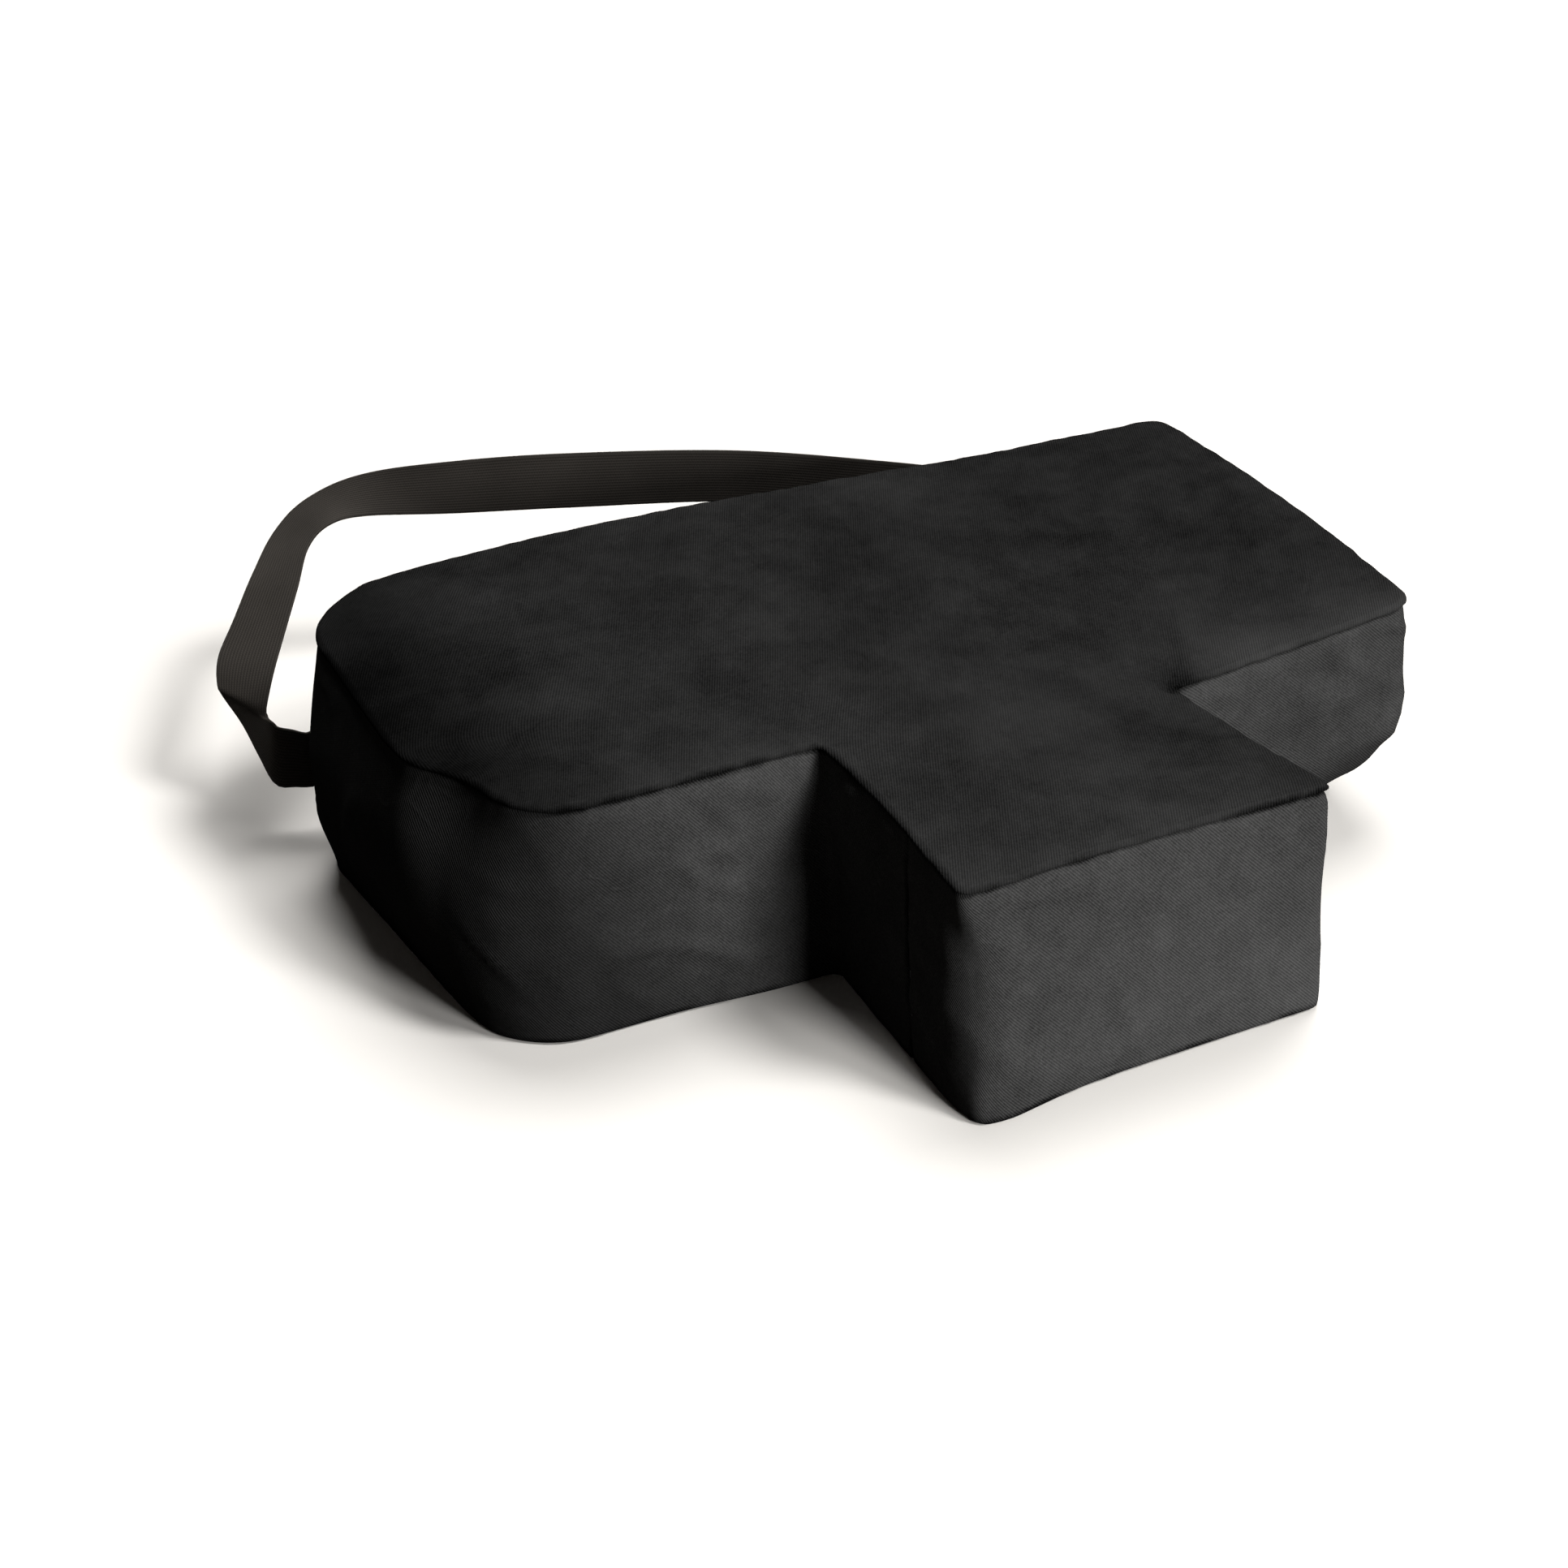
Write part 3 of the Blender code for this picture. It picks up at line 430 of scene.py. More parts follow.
def elastic_finish():
    """Ribbed elastic: lengthwise ribs, small knitted stitches across them and a little fluff."""
    sizes = bpy.context.scene.bag_sizes
    tint = bpy.context.scene.bag_colours.elastic
    finish = Finish("ribbed_elastic")
    across = finish.weave()
    lengthwise = across.other("Y")
    rib = across / (sizes.strap_width / sizes.strap_ribs)
    ridge = rib.wave()
    stitch = (lengthwise / 0.0013 + rib.math("FLOOR") * 0.5).wave()
    where = finish.place()
    cloud = finish.noise(where, 24.0, 3.0, 0.5)
    fluff = finish.noise(where, 900.0, 2.0, 0.6)
    level = (0.40 * ridge + 0.15 * stitch + 0.55 * cloud + 0.2 * fluff - 0.25).clamped()
    return finish.shade(
        base_color=finish.ramp(level, tinted(tint, 0.45), tinted(tint, 1.6)),
        roughness=(0.62 + 0.2 * cloud),
        normal=finish.bump(0.6 * ridge + 0.3 * stitch + 0.2 * fluff, 0.5, 0.0003),
        specular_ior_level=0.02,
    )


def lining_finish():
    """Light-tight lining: a close plain weave with a faint gloss."""
    tint = bpy.context.scene.bag_colours.lining
    finish = Finish("plain_lining")
    across = finish.weave()
    weave = (across / 0.0006).wave() * (across.other("Y") / 0.0006).wave()
    cloud = finish.noise(finish.place(), 30.0, 3.0)
    level = (0.5 * weave + 0.6 * cloud - 0.1).clamped()
    return finish.shade(
        base_color=finish.ramp(level, tinted(tint, 0.6), tinted(tint, 1.7)),
        roughness=(0.55 + 0.25 * cloud),
        normal=finish.bump(weave + 0.4 * cloud, 0.4, 0.0002),
        sheen_weight=0.1,
    )


def tape_finish():
    """Woven tape: a herringbone of small slanted ribs."""
    tint = bpy.context.scene.bag_colours.tape
    finish = Finish("woven_tape")
    across = finish.weave()
    fold = ((across / 0.0036).math("FRACT") - 0.5).math("ABSOLUTE")
    rib = (across.other("Y") / 0.0007 + fold * 4.0).wave()
    cloud = finish.noise(finish.place(), 40.0, 3.0)
    level = (0.55 * rib + 0.6 * cloud - 0.1).clamped()
    return finish.shade(
        base_color=finish.ramp(level, tinted(tint, 0.55), tinted(tint, 1.7)),
        roughness=(0.70 + 0.2 * cloud),
        normal=finish.bump(rib + 0.4 * cloud, 0.5, 0.0002),
        sheen_weight=0.15,
    )


def foam_finish():
    """Grey foam with open pores."""
    tint = bpy.context.scene.bag_colours.foam
    finish = Finish("grey_foam")
    where = finish.place()
    pores = finish.node("ShaderNodeTexVoronoi", None, {"Vector": where, "Scale": 700.0})
    cloud = finish.noise(where, 30.0, 3.0)
    level = (0.8 * pores + 0.5 * cloud - 0.1).clamped()
    return finish.shade(
        base_color=finish.ramp(level, tinted(tint, 0.5), tinted(tint, 1.4)),
        roughness=(0.86 + 0.1 * cloud),
        normal=finish.bump(pores, 0.6, 0.0006),
    )


def nylon_finish():
    """Moulded nylon with a satin skin."""
    tint = bpy.context.scene.bag_colours.nylon
    finish = Finish("moulded_nylon")
    where = finish.place()
    grain = finish.noise(where, 600.0, 2.0)
    cloud = finish.noise(where, 45.0, 3.0)
    return finish.shade(
        base_color=finish.ramp(cloud, tinted(tint, 0.7), tinted(tint, 1.4)),
        roughness=(0.32 + 0.22 * cloud),
        normal=finish.bump(grain, 0.25, 0.0001),
        specular_ior_level=0.5,
    )


def metal_finish():
    """Dark plated metal, brushed and worn brighter in patches."""
    tint = bpy.context.scene.bag_colours.metal
    finish = Finish("dark_plated_metal")
    where = finish.place()
    stretch = finish.node("ShaderNodeMapping", None, {"Vector": where, "Scale": (120.0, 120.0, 4000.0)})
    brush = finish.noise(stretch, 1.0, 2.0)
    rub = finish.noise(where, 260.0, 4.0, 0.6)
    level = (0.5 * brush + 0.9 * rub - 0.2).clamped()
    return finish.shade(
        base_color=finish.ramp(level, tinted(tint, 0.65), tinted(tint, 1.7)),
        roughness=(0.26 + 0.22 * rub),
        metallic=1.0,
        normal=finish.bump(brush, 0.15, 0.00005),
    )


def thread_finish():
    """Twisted sewing thread."""
    tint = bpy.context.scene.bag_colours.thread
    finish = Finish("sewing_thread")
    where = finish.place()
    ply = finish.noise(where, 1800.0, 2.0)
    return finish.shade(
        base_color=finish.ramp(ply, tinted(tint, 0.6), tinted(tint, 1.9)),
        roughness=(0.45 + 0.25 * ply),
        normal=finish.bump(ply, 0.5, 0.00015),
        sheen_weight=0.2,
    )


FINISHES = {
    "twill": twill_finish,
    "twill_top": top_twill_with_painted_shade,
    "elastic": elastic_finish,
    "lining": lining_finish,
    "tape": tape_finish,
    "foam": foam_finish,
    "nylon": nylon_finish,
    "metal": metal_finish,
    "thread": thread_finish,
}


def finish_of(slot):
    """The material of a slot, made once."""
    made = bpy.data.materials.get("bag_" + slot)
    if made is None:
        made = FINISHES[slot]()
        made.name = "bag_" + slot
    return made


def smooth(share):
    """Smooth step from 0 to 1."""
    share = np.clip(share, 0.0, 1.0)
    return share * share * (3.0 - 2.0 * share)


def near(x, y, at_x, at_y, reach):
    """A soft weight of 1 at a place of the plan that falls off over a reach."""
    return np.exp(-((x - at_x) ** 2 + (y - at_y) ** 2) / reach**2)


def rounded(corners, closed):
    """Points of a path through corners of x, y and radius, with an arc at each corner."""
    points = []
    count = len(corners)
    sharp = 0.0002
    arc_step = 0.0008
    for index, (x, y, radius) in enumerate(corners):
        corner = Vector((x, y))
        if not closed and index in (0, count - 1) or radius < sharp:
            points.append(corner)
            continue
        before = (Vector(corners[index - 1][:2]) - corner).normalized()
        after = (Vector(corners[(index + 1) % count][:2]) - corner).normalized()
        half = before.angle(after) / 2
        reach = radius / math.tan(half)
        centre = corner + (before + after).normalized() * radius / math.sin(half)
        first = corner + before * reach - centre
        turn = first.angle_signed(corner + after * reach - centre)
        steps = max(6, math.ceil(radius * abs(turn) / arc_step))
        points += [centre + Matrix.Rotation(-turn * step / steps, 2) @ first for step in range(steps + 1)]
    return np.array([tuple(point) for point in points])


def along(points):
    """Distance of each point of a path from its start."""
    gaps = np.linalg.norm(np.diff(points, axis=0), axis=1)
    return np.concatenate([[0.0], np.cumsum(gaps)])


def at_lengths(points, lengths):
    """Points of a path at distances from its start."""
    far = along(points)
    return np.stack([np.interp(lengths, far, points[:, axis]) for axis in range(points.shape[1])], axis=1)


def facing(points, closed):
    """Directions to the right of a path, which point out of a shape that lies to its left."""
    if closed:
        ahead = np.roll(points, -1, axis=0) - np.roll(points, 1, axis=0)
    else:
        ahead = np.gradient(points, axis=0)
    ahead /= np.maximum(np.linalg.norm(ahead, axis=1, keepdims=True), 1e-12)
    return np.stack([ahead[:, 1], -ahead[:, 0]], axis=1)


def closed_loop(corners, step):
    """Evenly spaced points of a closed path, with the directions that point out of it."""
    points = rounded(corners, True)
    points = np.concatenate([points, points[:1]])
    whole = along(points)[-1]
    count = round(whole / step)
    points = at_lengths(points, np.arange(count) * whole / count)
    return points, facing(points, True)


def t_corners(inset=0.0, least=LEAST_RADIUS):
    """Corners of the T, drawn inset from the outside, with a least radius."""

    def out(radius):
        return max(radius - inset, least)

    return [
        (LEFT + inset, BACK - inset, out(BACK_LEFT_RADIUS)),
        (LEFT + inset, FRONT + inset, out(FRONT_LEFT_RADIUS)),
        (STEM_LEFT + inset, FRONT + inset, INNER_RADIUS + inset),
        (STEM_LEFT + inset, STEM_FRONT + inset, out(STEM_RADIUS)),
        (STEM_RIGHT - inset, STEM_FRONT + inset, out(STEM_RADIUS)),
        (STEM_RIGHT - inset, FRONT + inset, INNER_RADIUS + inset),
        (RIGHT - inset, FRONT + inset, out(FRONT_RIGHT_RADIUS)),
        (RIGHT - inset, BACK - inset, out(BACK_RIGHT_RADIUS)),
    ]


def side_corners(name, inset=0.0):
    """Path of a side strip: the left one, the right one, or both as one."""
    corners = t_corners(inset)
    back_left, front_left, inner_left, *rest = corners
    left_end = (LEFT_SEAM, BACK - inset, 0.0)
    right_end = (RIGHT_SEAM, BACK - inset, 0.0)
    join = (STEM_LEFT + inset, JOIN, 0.0)
    if name == "left":
        return [left_end, back_left, front_left, inner_left, join]
    if name == "right":
        return [join, *rest, right_end]
    return [left_end, *corners, right_end]


def flip(faces):
    """The same faces, looking the other way."""
    return [face[::-1] for face in faces]


def shifted(faces, before):
    """The same faces, for points that come after others."""
    return [[before + corner for corner in face] for face in faces]


def grid_faces(rows, columns, close_rows=False, close_columns=False, flipped=False, capped=False):
    """Faces of a grid whose points are counted along its rows.

    It may close on itself either way, and caps may fill its first and last row.
    """
    index = np.arange(rows * columns).reshape(rows, columns)
    caps = [index[0].tolist()[::-1], index[-1].tolist()] if capped else []
    if close_columns:
        index = np.concatenate([index, index[:, :1]], axis=1)
    if close_rows:
        index = np.concatenate([index, index[:1]], axis=0)
    corners = [index[:-1, :-1], index[:-1, 1:], index[1:, 1:], index[1:, :-1]]
    if flipped:
        corners = [corners[0], corners[3], corners[2], corners[1]]
        caps = flip(caps)
    return np.stack(corners, axis=-1).reshape(-1, 4).tolist() + caps


def inside(points, loops):
    """Which points lie inside loops, with loops inside loops as holes."""
    found = np.zeros(len(points), bool)
    x, y = points.T
    for loop in loops:
        for (x0, y0), (x1, y1) in zip(loop, np.roll(loop, -1, axis=0)):
            if y0 != y1:
                found ^= ((y0 > y) != (y1 > y)) & (x < (x1 - x0) * (y - y0) / (y1 - y0) + x0)
    return found


def panel(loops, profile, step):
    """A flat panel inside loops whose edges follow a profile of inset and depth.

    It gives points as two places on the panel and a depth, the faces, and each point's distance from the
    nearest edge.
    """
    points = []
    edges = []
    faces = []
    rims = []
    limits = []
    rim_gap = 0.7 * step
    row_step = 0.87 * step
    merge = 1e-7
    least_area = 1e-8
    for line, out in loops:
        count = len(line)
        first = sum(len(part) for part in points)
        for inset, depth in profile:
            ring = line - out * inset
            points.append(np.column_stack([ring, np.full(count, depth)]))
            edges.append(np.full(count, inset))
        faces += shifted(grid_faces(len(profile), count, close_columns=True), first)
        rims.append(first + (len(profile) - 1) * count + np.arange(count))
        limits.append(line - out * (profile[-1][0] + rim_gap))
    points = np.concatenate(points)
    # The middle is a grid of near-even triangles, so its rows lie closer than its points do.
    low = points[:, :2].min(axis=0)
    high = points[:, :2].max(axis=0)
    across = np.arange(low[0], high[0], step)
    rows = []
    for index, up in enumerate(np.arange(low[1], high[1], row_step)):
        rows.append(np.column_stack([across + step / 2 * (index % 2), np.full(len(across), up)]))
    grid = np.concatenate(rows)
    grid = grid[inside(grid, limits)]
    ids = np.concatenate(rims)
    flat = np.concatenate([points[ids, :2], grid])
    bars = []
    start = 0
    for rim in rims:
        bars += [(start + index, start + (index + 1) % len(rim)) for index in range(len(rim))]
        start += len(rim)
    made = geometry.delaunay_2d_cdt([Vector(place) for place in flat.tolist()], bars, [], 0, merge)
    places = np.array([tuple(place) for place in made[0]])
    source = [origin[0] for origin in made[3]]
    ids = np.concatenate([ids, len(points) + np.arange(len(grid))])
    triangles = np.array(made[2])
    middles = places[triangles].mean(axis=1)
    ahead = places[triangles[:, 1]] - places[triangles[:, 0]]
    aside = places[triangles[:, 2]] - places[triangles[:, 0]]
    broad = ahead[:, 0] * aside[:, 1] - ahead[:, 1] * aside[:, 0] > least_area
    kept = triangles[broad & inside(middles, [points[rim, :2] for rim in rims])]
    faces += ids[np.array(source)[kept]].tolist()
    border = np.concatenate([points[rim, :2] for rim in rims])
    edges.append(profile[-1][0] + np.array([np.linalg.norm(border - spot, axis=1).min() for spot in grid]))
    points = np.concatenate([points, np.column_stack([grid, np.full(len(grid), profile[-1][1])])])
    return points, faces, np.concatenate(edges)


def strip(path, columns, rows):
    """A wall of cloth along a path: columns are distances along it, rows are pairs of inset and height.

    It gives points, faces that look to the right of the path, and each point's outward direction.
    """
    samples = 3000
    fine = at_lengths(path, np.linspace(0.0, along(path)[-1], samples))
    out = facing(fine, False)
    far = along(fine)
    base = at_lengths(fine, columns)
    out = np.stack([np.interp(columns, far, out[:, axis]) for axis in range(2)], axis=1)
    out /= np.linalg.norm(out, axis=1, keepdims=True)
    insets = np.array([inset for inset, up in rows])
    heights = np.array([up for inset, up in rows])
    count = len(columns)
    flat = base[None] - out[None] * insets[:, None, None]
    tall = np.broadcast_to(heights[:, None, None], (len(rows), count, 1))
    points = np.concatenate([flat, tall], axis=2).reshape(-1, 3)
    out = np.broadcast_to(np.pad(out, ((0, 0), (0, 1)))[None], (len(rows), count, 3)).reshape(-1, 3)
    return points, grid_faces(len(rows), count), out


def end_swell(points, out):
    """Swells the sides at the two ends of the bag, as its pattern does."""
    x, y, z = points.T
    deep = np.sin(math.pi * np.clip((y - FRONT) / (BACK - FRONT), 0.0, 1.0))
    margin = 0.005
    up = np.sin(math.pi * np.clip((z - margin) / (HEIGHT - 2 * margin), 0.0, 1.0))
    left = LEFT_SWELL * smooth(1.0 - (x - LEFT) / FRONT_LEFT_RADIUS)
    right = RIGHT_SWELL * smooth(1.0 - (RIGHT - x) / FRONT_RIGHT_RADIUS)
    return points + out * ((left + right) * deep * up)[:, None]


def held(points):
    """Keeps padding inside the swollen ends of the cover."""
    inner = points.copy()
    clearance = 0.0026
    for end, way in ((LEFT, -1.0), (RIGHT, 1.0)):
        wall = inner.copy()
        wall[:, 0] = end
        limit = way * end_swell(wall, np.array([[way, 0.0, 0.0]]))[:, 0] - clearance
        inner[:, 0] = way * np.minimum(way * inner[:, 0], limit)
    return inner


def rise(x, y):
    """How much higher the stuffed top stands at a place of the plan."""
    sizes = bpy.context.scene.bag_sizes
    lift = np.exp(-(((x - RISE_X) / RISE_ALONG) ** 2) - ((y - RISE_Y) / RISE_DEEP) ** 2)
    away = np.hypot(x - STEM_RIGHT - 0.002, y - FRONT)
    cone = np.clip(1.0 - np.hypot(away, DIP_ROUND) / DIP_REACH, 0.0, 1.0)
    stem_dip = STEM_DIP * near(x, y, STEM_LEFT, STEM_FRONT, 0.050)
    return sizes.top_rise * lift - sizes.corner_dip * cone - stem_dip


def corner_folds(points):
    """Gathers the seam round the front left corner and hangs soft upright folds below it."""
    sizes = bpy.context.scene.bag_sizes
    x, y, z = points.T
    to_left = LEFT + FRONT_LEFT_RADIUS - x
    to_front = FRONT + FRONT_LEFT_RADIUS - y
    turn = np.arctan2(to_front, to_left)
    away = np.hypot(to_left, to_front) - FRONT_LEFT_RADIUS
    window = smooth((turn + 0.25) / 0.45) * smooth((math.pi / 2 + 0.35 - turn) / 0.45)
    at_seam = np.exp(-((away / 0.012) ** 2) - np.clip(HEIGHT - z, 0.0, 1.0) / 0.014)
    hanging = np.exp(-((away / 0.030) ** 2) - ((z - 0.050) / 0.034) ** 2)
    moved = points.copy()
    moved[:, 2] += sizes.gather * window * at_seam * np.sin(23.0 * turn + np.sin(7.0 * turn))
    out = sizes.fold * window * hanging * np.sin(10.0 * turn + 1.2)
    moved[:, 0] -= out * np.cos(turn)
    moved[:, 1] -= out * np.sin(turn)
    return moved


def stem_edge(points):
    """Rounds the stem's left upright edge more below its seam. What lies within keeps its order."""
    radius = STEM_FOOT_RADIUS
    z = points[:, 2]
    share = smooth((HEIGHT - 0.004 - z) / 0.034) * (0.5 + 0.5 * smooth(z / 0.04))
    within = points[:, :2] - np.array([STEM_LEFT, STEM_FRONT])
    tight = STEM_RADIUS - within
    depth = np.where((tight > 0.0).all(axis=1), STEM_RADIUS - np.hypot(*tight.T), within.min(axis=1))
    ahead = radius - within
    reached = (ahead > 0.0).all(axis=1) & (depth > -0.003)
    far = np.maximum(np.hypot(*ahead.T), 1e-9)
    scale = np.where(reached, share * ((radius - depth) / far - 1.0), 0.0)
    moved = points.copy()
    moved[:, :2] -= ahead * scale[:, None]
    return moved


def soft_form(points):
    """Moves points of the plain pattern to where the stuffed, slack bag holds them."""
    sizes = bpy.context.scene.bag_sizes
    x, y, z = points.T
    up = np.clip(z / HEIGHT, 0.0, 1.1)
    low = 1.0 - np.clip(up, 0.0, 1.0)
    high = smooth((up - 0.35) / 0.6)
    belly = np.sin(math.pi * low)
    moved = stem_edge(corner_folds(points))
    # The left end bows out, at its top evenly and at its foot more towards the back.
    at_left = smooth((LEFT + 0.09 - x) / 0.09)
    to_back = smooth((BACK - y) / 0.050)
    bow_top = sizes.left_bow * smooth((y + 0.085) / 0.045)
    bow_foot = np.maximum(0.009 + 0.105 * y, 0.0) * smooth((y - FRONT) / 0.04)
    moved[:, 0] -= at_left * to_back * (up * bow_top + low * bow_foot)
    # The seams pull the front left corner in at the top.
    pinch = smooth((up - 0.42) / 0.58) * near(x, y, LEFT, -0.078, 0.032)
    corner_pull = CORNER_PULL * high * near(x, y, LEFT, FRONT, FRONT_LEFT_RADIUS)
    moved[:, 0] += CORNER_PINCH * pinch + corner_pull
    moved[:, 1] += 0.002 * pinch + corner_pull
    # The right end bows a little.
    at_right = smooth((x - RIGHT + 0.08) / 0.08)
    deep = np.sin(math.pi * np.clip((y - FRONT) / (BACK - FRONT), 0.0, 1.0))
    moved[:, 0] += at_right * deep * (sizes.right_bow - 0.003 * belly)
    # Near the floor the arms of the bar tuck in, and the right front corner lifts.
    tuck = np.clip(1.0 - z / 0.045, 0.0, 1.0) ** 2
    right_arm = smooth((x - STEM_RIGHT - 0.004) / 0.05)
    left_arm = smooth((STEM_LEFT - 0.02 - x) / 0.06)
    near_front = smooth((FRONT + 0.08 - y) / 0.08) * (y > FRONT - 0.02)
    moved[:, 0] -= RIGHT_END_TUCK * np.clip(1.0 - z / 0.056, 0.0, 1.0) * at_right
    moved[:, 1] += tuck * near_front * (RIGHT_ARM_TUCK * right_arm + LEFT_ARM_TUCK * left_arm)
    moved[:, 2] += RIGHT_CORNER_LIFT * low**2 * near(x, y, RIGHT, FRONT, 0.065)
    # The stem's foot stands out at its left corner and back at its right one.
    moved[:, 1] -= STEM_LEFT_OUT * low * near(x, y, STEM_LEFT, STEM_FRONT, 0.045)
    moved[:, 1] += STEM_RIGHT_BACK * low * near(x, y, STEM_RIGHT, STEM_FRONT, 0.060)
    # The stem spreads a little to the right at its front, and the left inner corner to the left at its top.
    moved[:, 0] += (0.004 * up + 0.006 * low) * near(x, y, STEM_RIGHT, STEM_FRONT, 0.045)
    moved[:, 0] -= 0.0035 * high * near(x, y, STEM_LEFT, FRONT, 0.030)
    # The top rises with its stuffing. At the back only what lies above the zip rises.
    above = smooth((z - 0.101) / 0.011)
    share = up + (above - up) * smooth((y - BACK + 0.03) / 0.03)
    moved[:, 2] += rise(x, y) * share
    return moved


def calm_at_back(y):
    """How much of the sides' lumps is left, less towards the back, where they meet the flat panels."""
    return 1.0 - 0.8 * smooth((y - BACK + 0.02) / 0.02)


def lumps(points, out, edge, amount):
    """Soft lumps and seam puckers, pushed outwards.

    The outward direction and the distance from a seam are given for each point, or once for all.
    """
    sizes = bpy.context.scene.bag_sizes
    out = np.broadcast_to(out, points.shape)
    edge = np.broadcast_to(edge, len(points))
    bulge = np.empty(len(points))
    for index, (x, y, z) in enumerate(points.tolist()):
        broad = noise.noise(Vector((x * 15.0, y * 15.0, z * 15.0 + 3.0)))
        crimp = 0.25 - abs(noise.noise(Vector((x * 24.0 + 9.0, y * 24.0, z * 24.0))))
        small = noise.noise(Vector((x * 120.0, y * 120.0 + 4.0, z * 120.0)))
        seam = math.exp(-edge[index] / 0.008)
        gap = max(noise.noise(Vector((x * 34.0, y * 34.0 + 7.0, 2.0))), 0.0)
        crack = math.exp(-edge[index] / 0.003) * gap
        calm = 1.0 - 0.75 * seam
        slack = sizes.lump * calm * (broad + 0.9 * crimp)
        bulge[index] = slack + sizes.pucker * seam * small - sizes.crack * crack * (1.0 - abs(out[index, 2]))
    return points + out * (bulge * amount)[:, None]


def creased(points, amount):
    """Creases of the top cloth, as grooves with soft shoulders that fade along their length."""
    moved = points.copy()
    for start, end, width, depth in CREASES:
        start = np.array(start)
        run = np.array(end) - start
        share = np.clip(((points[:, :2] - start) @ run) / (run @ run), 0.0, 1.0)
        away = np.linalg.norm(points[:, :2] - start - share[:, None] * run, axis=1) / width
        moved[:, 2] -= amount * depth * (1.0 - share) ** 1.5 * (1.0 - 0.5 * away**2) * np.exp(-0.5 * away**2)
    return moved


def laid_out(first, second, angle=0.0):
    """Two places on the cloth as distances across and along its ridges, which may be turned."""
    across = first * math.cos(angle) + second * math.sin(angle)
    ahead = second * math.cos(angle) - first * math.sin(angle)
    return np.column_stack([across, ahead, np.zeros(len(across))])


def sew(
    name,
    points,
    faces,
    slot,
    weave=(0.0, 0.0, 0.0),
    edge=FAR_FROM_SEAM,
    thickness=0.0,
    body="bag",
    stands_for=(),
    finish="",
):
    """Make a piece from points and faces, with its finish, and let it move with its body."""
    mesh = bpy.data.meshes.new(name)
    mesh.from_pydata(np.asarray(points, float).tolist(), [], faces)
    mesh.polygons.foreach_set("use_smooth", np.ones(len(mesh.polygons), bool))
    count = len(mesh.vertices)
    places = np.broadcast_to(weave, (count, 3))
    mesh.attributes.new("weave", "FLOAT_VECTOR", "POINT").data.foreach_set("vector", np.ravel(places))
    far = np.broadcast_to(edge, count)
    mesh.attributes.new("edge", "FLOAT", "POINT").data.foreach_set("value", np.ravel(far))
    made = bpy.data.objects.new(name, mesh)
    bpy.context.scene.collection.objects.link(made)
    mesh.materials.append(finish_of(finish or slot))
    if thickness:
        solid = made.modifiers.new("thickness", "SOLIDIFY")
        solid.thickness = thickness
        solid.offset = -1.0
    if stands_for:
        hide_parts(*stands_for)
    if body:
        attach(made, body)
    return made


def seam_profile(roll):
    """Inset and depth of a panel's edge: out of the groove, round the roll and on to the flat."""
    groove = bpy.context.scene.bag_sizes.seam_groove
    profile = [(groove, -roll - 0.0009), (0.55 * groove, -roll - 0.0008), (0.2 * groove, -roll - 0.0004)]
    for step in range(6):
        turn = math.pi / 2 * step / 5
        profile.append((roll - roll * math.cos(turn), roll * math.sin(turn) - roll))
    return profile + [(roll + 0.0010, 0.0005), (roll + 0.0022, 0.0003), (roll + 0.0036, 0.0)]


def side_rows():
    """Inset and height of the rows of a side strip, from its rolled foot to the groove at its top."""
    sizes = bpy.context.scene.bag_sizes
    groove = sizes.seam_groove
    seam = [(groove, 0.0), (0.55 * groove, 0.0001), (0.2 * groove, 0.0004), (0.0, 0.0010), (0.0, 0.0026)]
    low = [(0.0008, 0.0010), (0.0002, 0.0014), (0.0, 0.0022), (0.0, 0.0040)]
    high = [(inset, HEIGHT - sizes.seam_roll - SEAM_GAP - up) for inset, up in reversed(seam)]
    middle = np.linspace(low[-1][1], high[0][1], round((high[0][1] - low[-1][1]) / sizes.mesh_step) + 1)
    rows = low + [(0.0, up) for up in middle[1:-1]] + high
    # The upper edge rolls in towards its seam.
    return [(inset + 0.0014 * math.exp((up - high[-1][1]) / 0.005), up) for inset, up in rows]


def top_painted_light_and_shade(x, y):
    """Painted light and shade of the top: lighter towards its front seams, darker where it rolls over the
    left end.
    """
    right = np.hypot(np.maximum(STEM_RIGHT - x, 0.0), y - FRONT)
    left = np.hypot(np.maximum(x - STEM_LEFT, 0.0), y - FRONT)
    # Painted light towards the front seams and the stem's front, and painted shade where the top rolls down
    # over the left end.
    painted_front_light = np.exp(-right / 0.020) + 0.25 * np.exp(-left / 0.020) + 0.45 * np.exp((STEM_FRONT - y) / 0.024)
    rolled = np.exp(-(((x - LEFT + 0.006) / 0.030) ** 2) - ((y + 0.020) / 0.070) ** 4)
    # The valley that runs back and to the right from the inner right corner is painted dark, as shade.
    to_right = 0.39
    to_back = 0.92
    across = to_back * (x - STEM_RIGHT) - to_right * (y - FRONT)
    ahead = to_right * (x - STEM_RIGHT) + to_back * (y - FRONT)
    valley = np.exp(-((across / 0.010) ** 2)) * smooth(1.0 - ahead / 0.090) * smooth((ahead + 0.012) / 0.012)
    return painted_front_light * (1.0 - near(x, y, STEM_RIGHT, FRONT, 0.024)) - 0.60 * rolled - 0.34 * valley


def stem_painted_light(points):
    """How much painted light brightens the stem's front towards its lower right corner."""
    x, y, z = points.T
    in_front = smooth((STEM_FRONT + 0.012 - y) / 0.010)
    return 0.34 * in_front * smooth((x - STEM_LEFT) / (STEM_RIGHT - STEM_LEFT)) * (1.0 - z / HEIGHT)


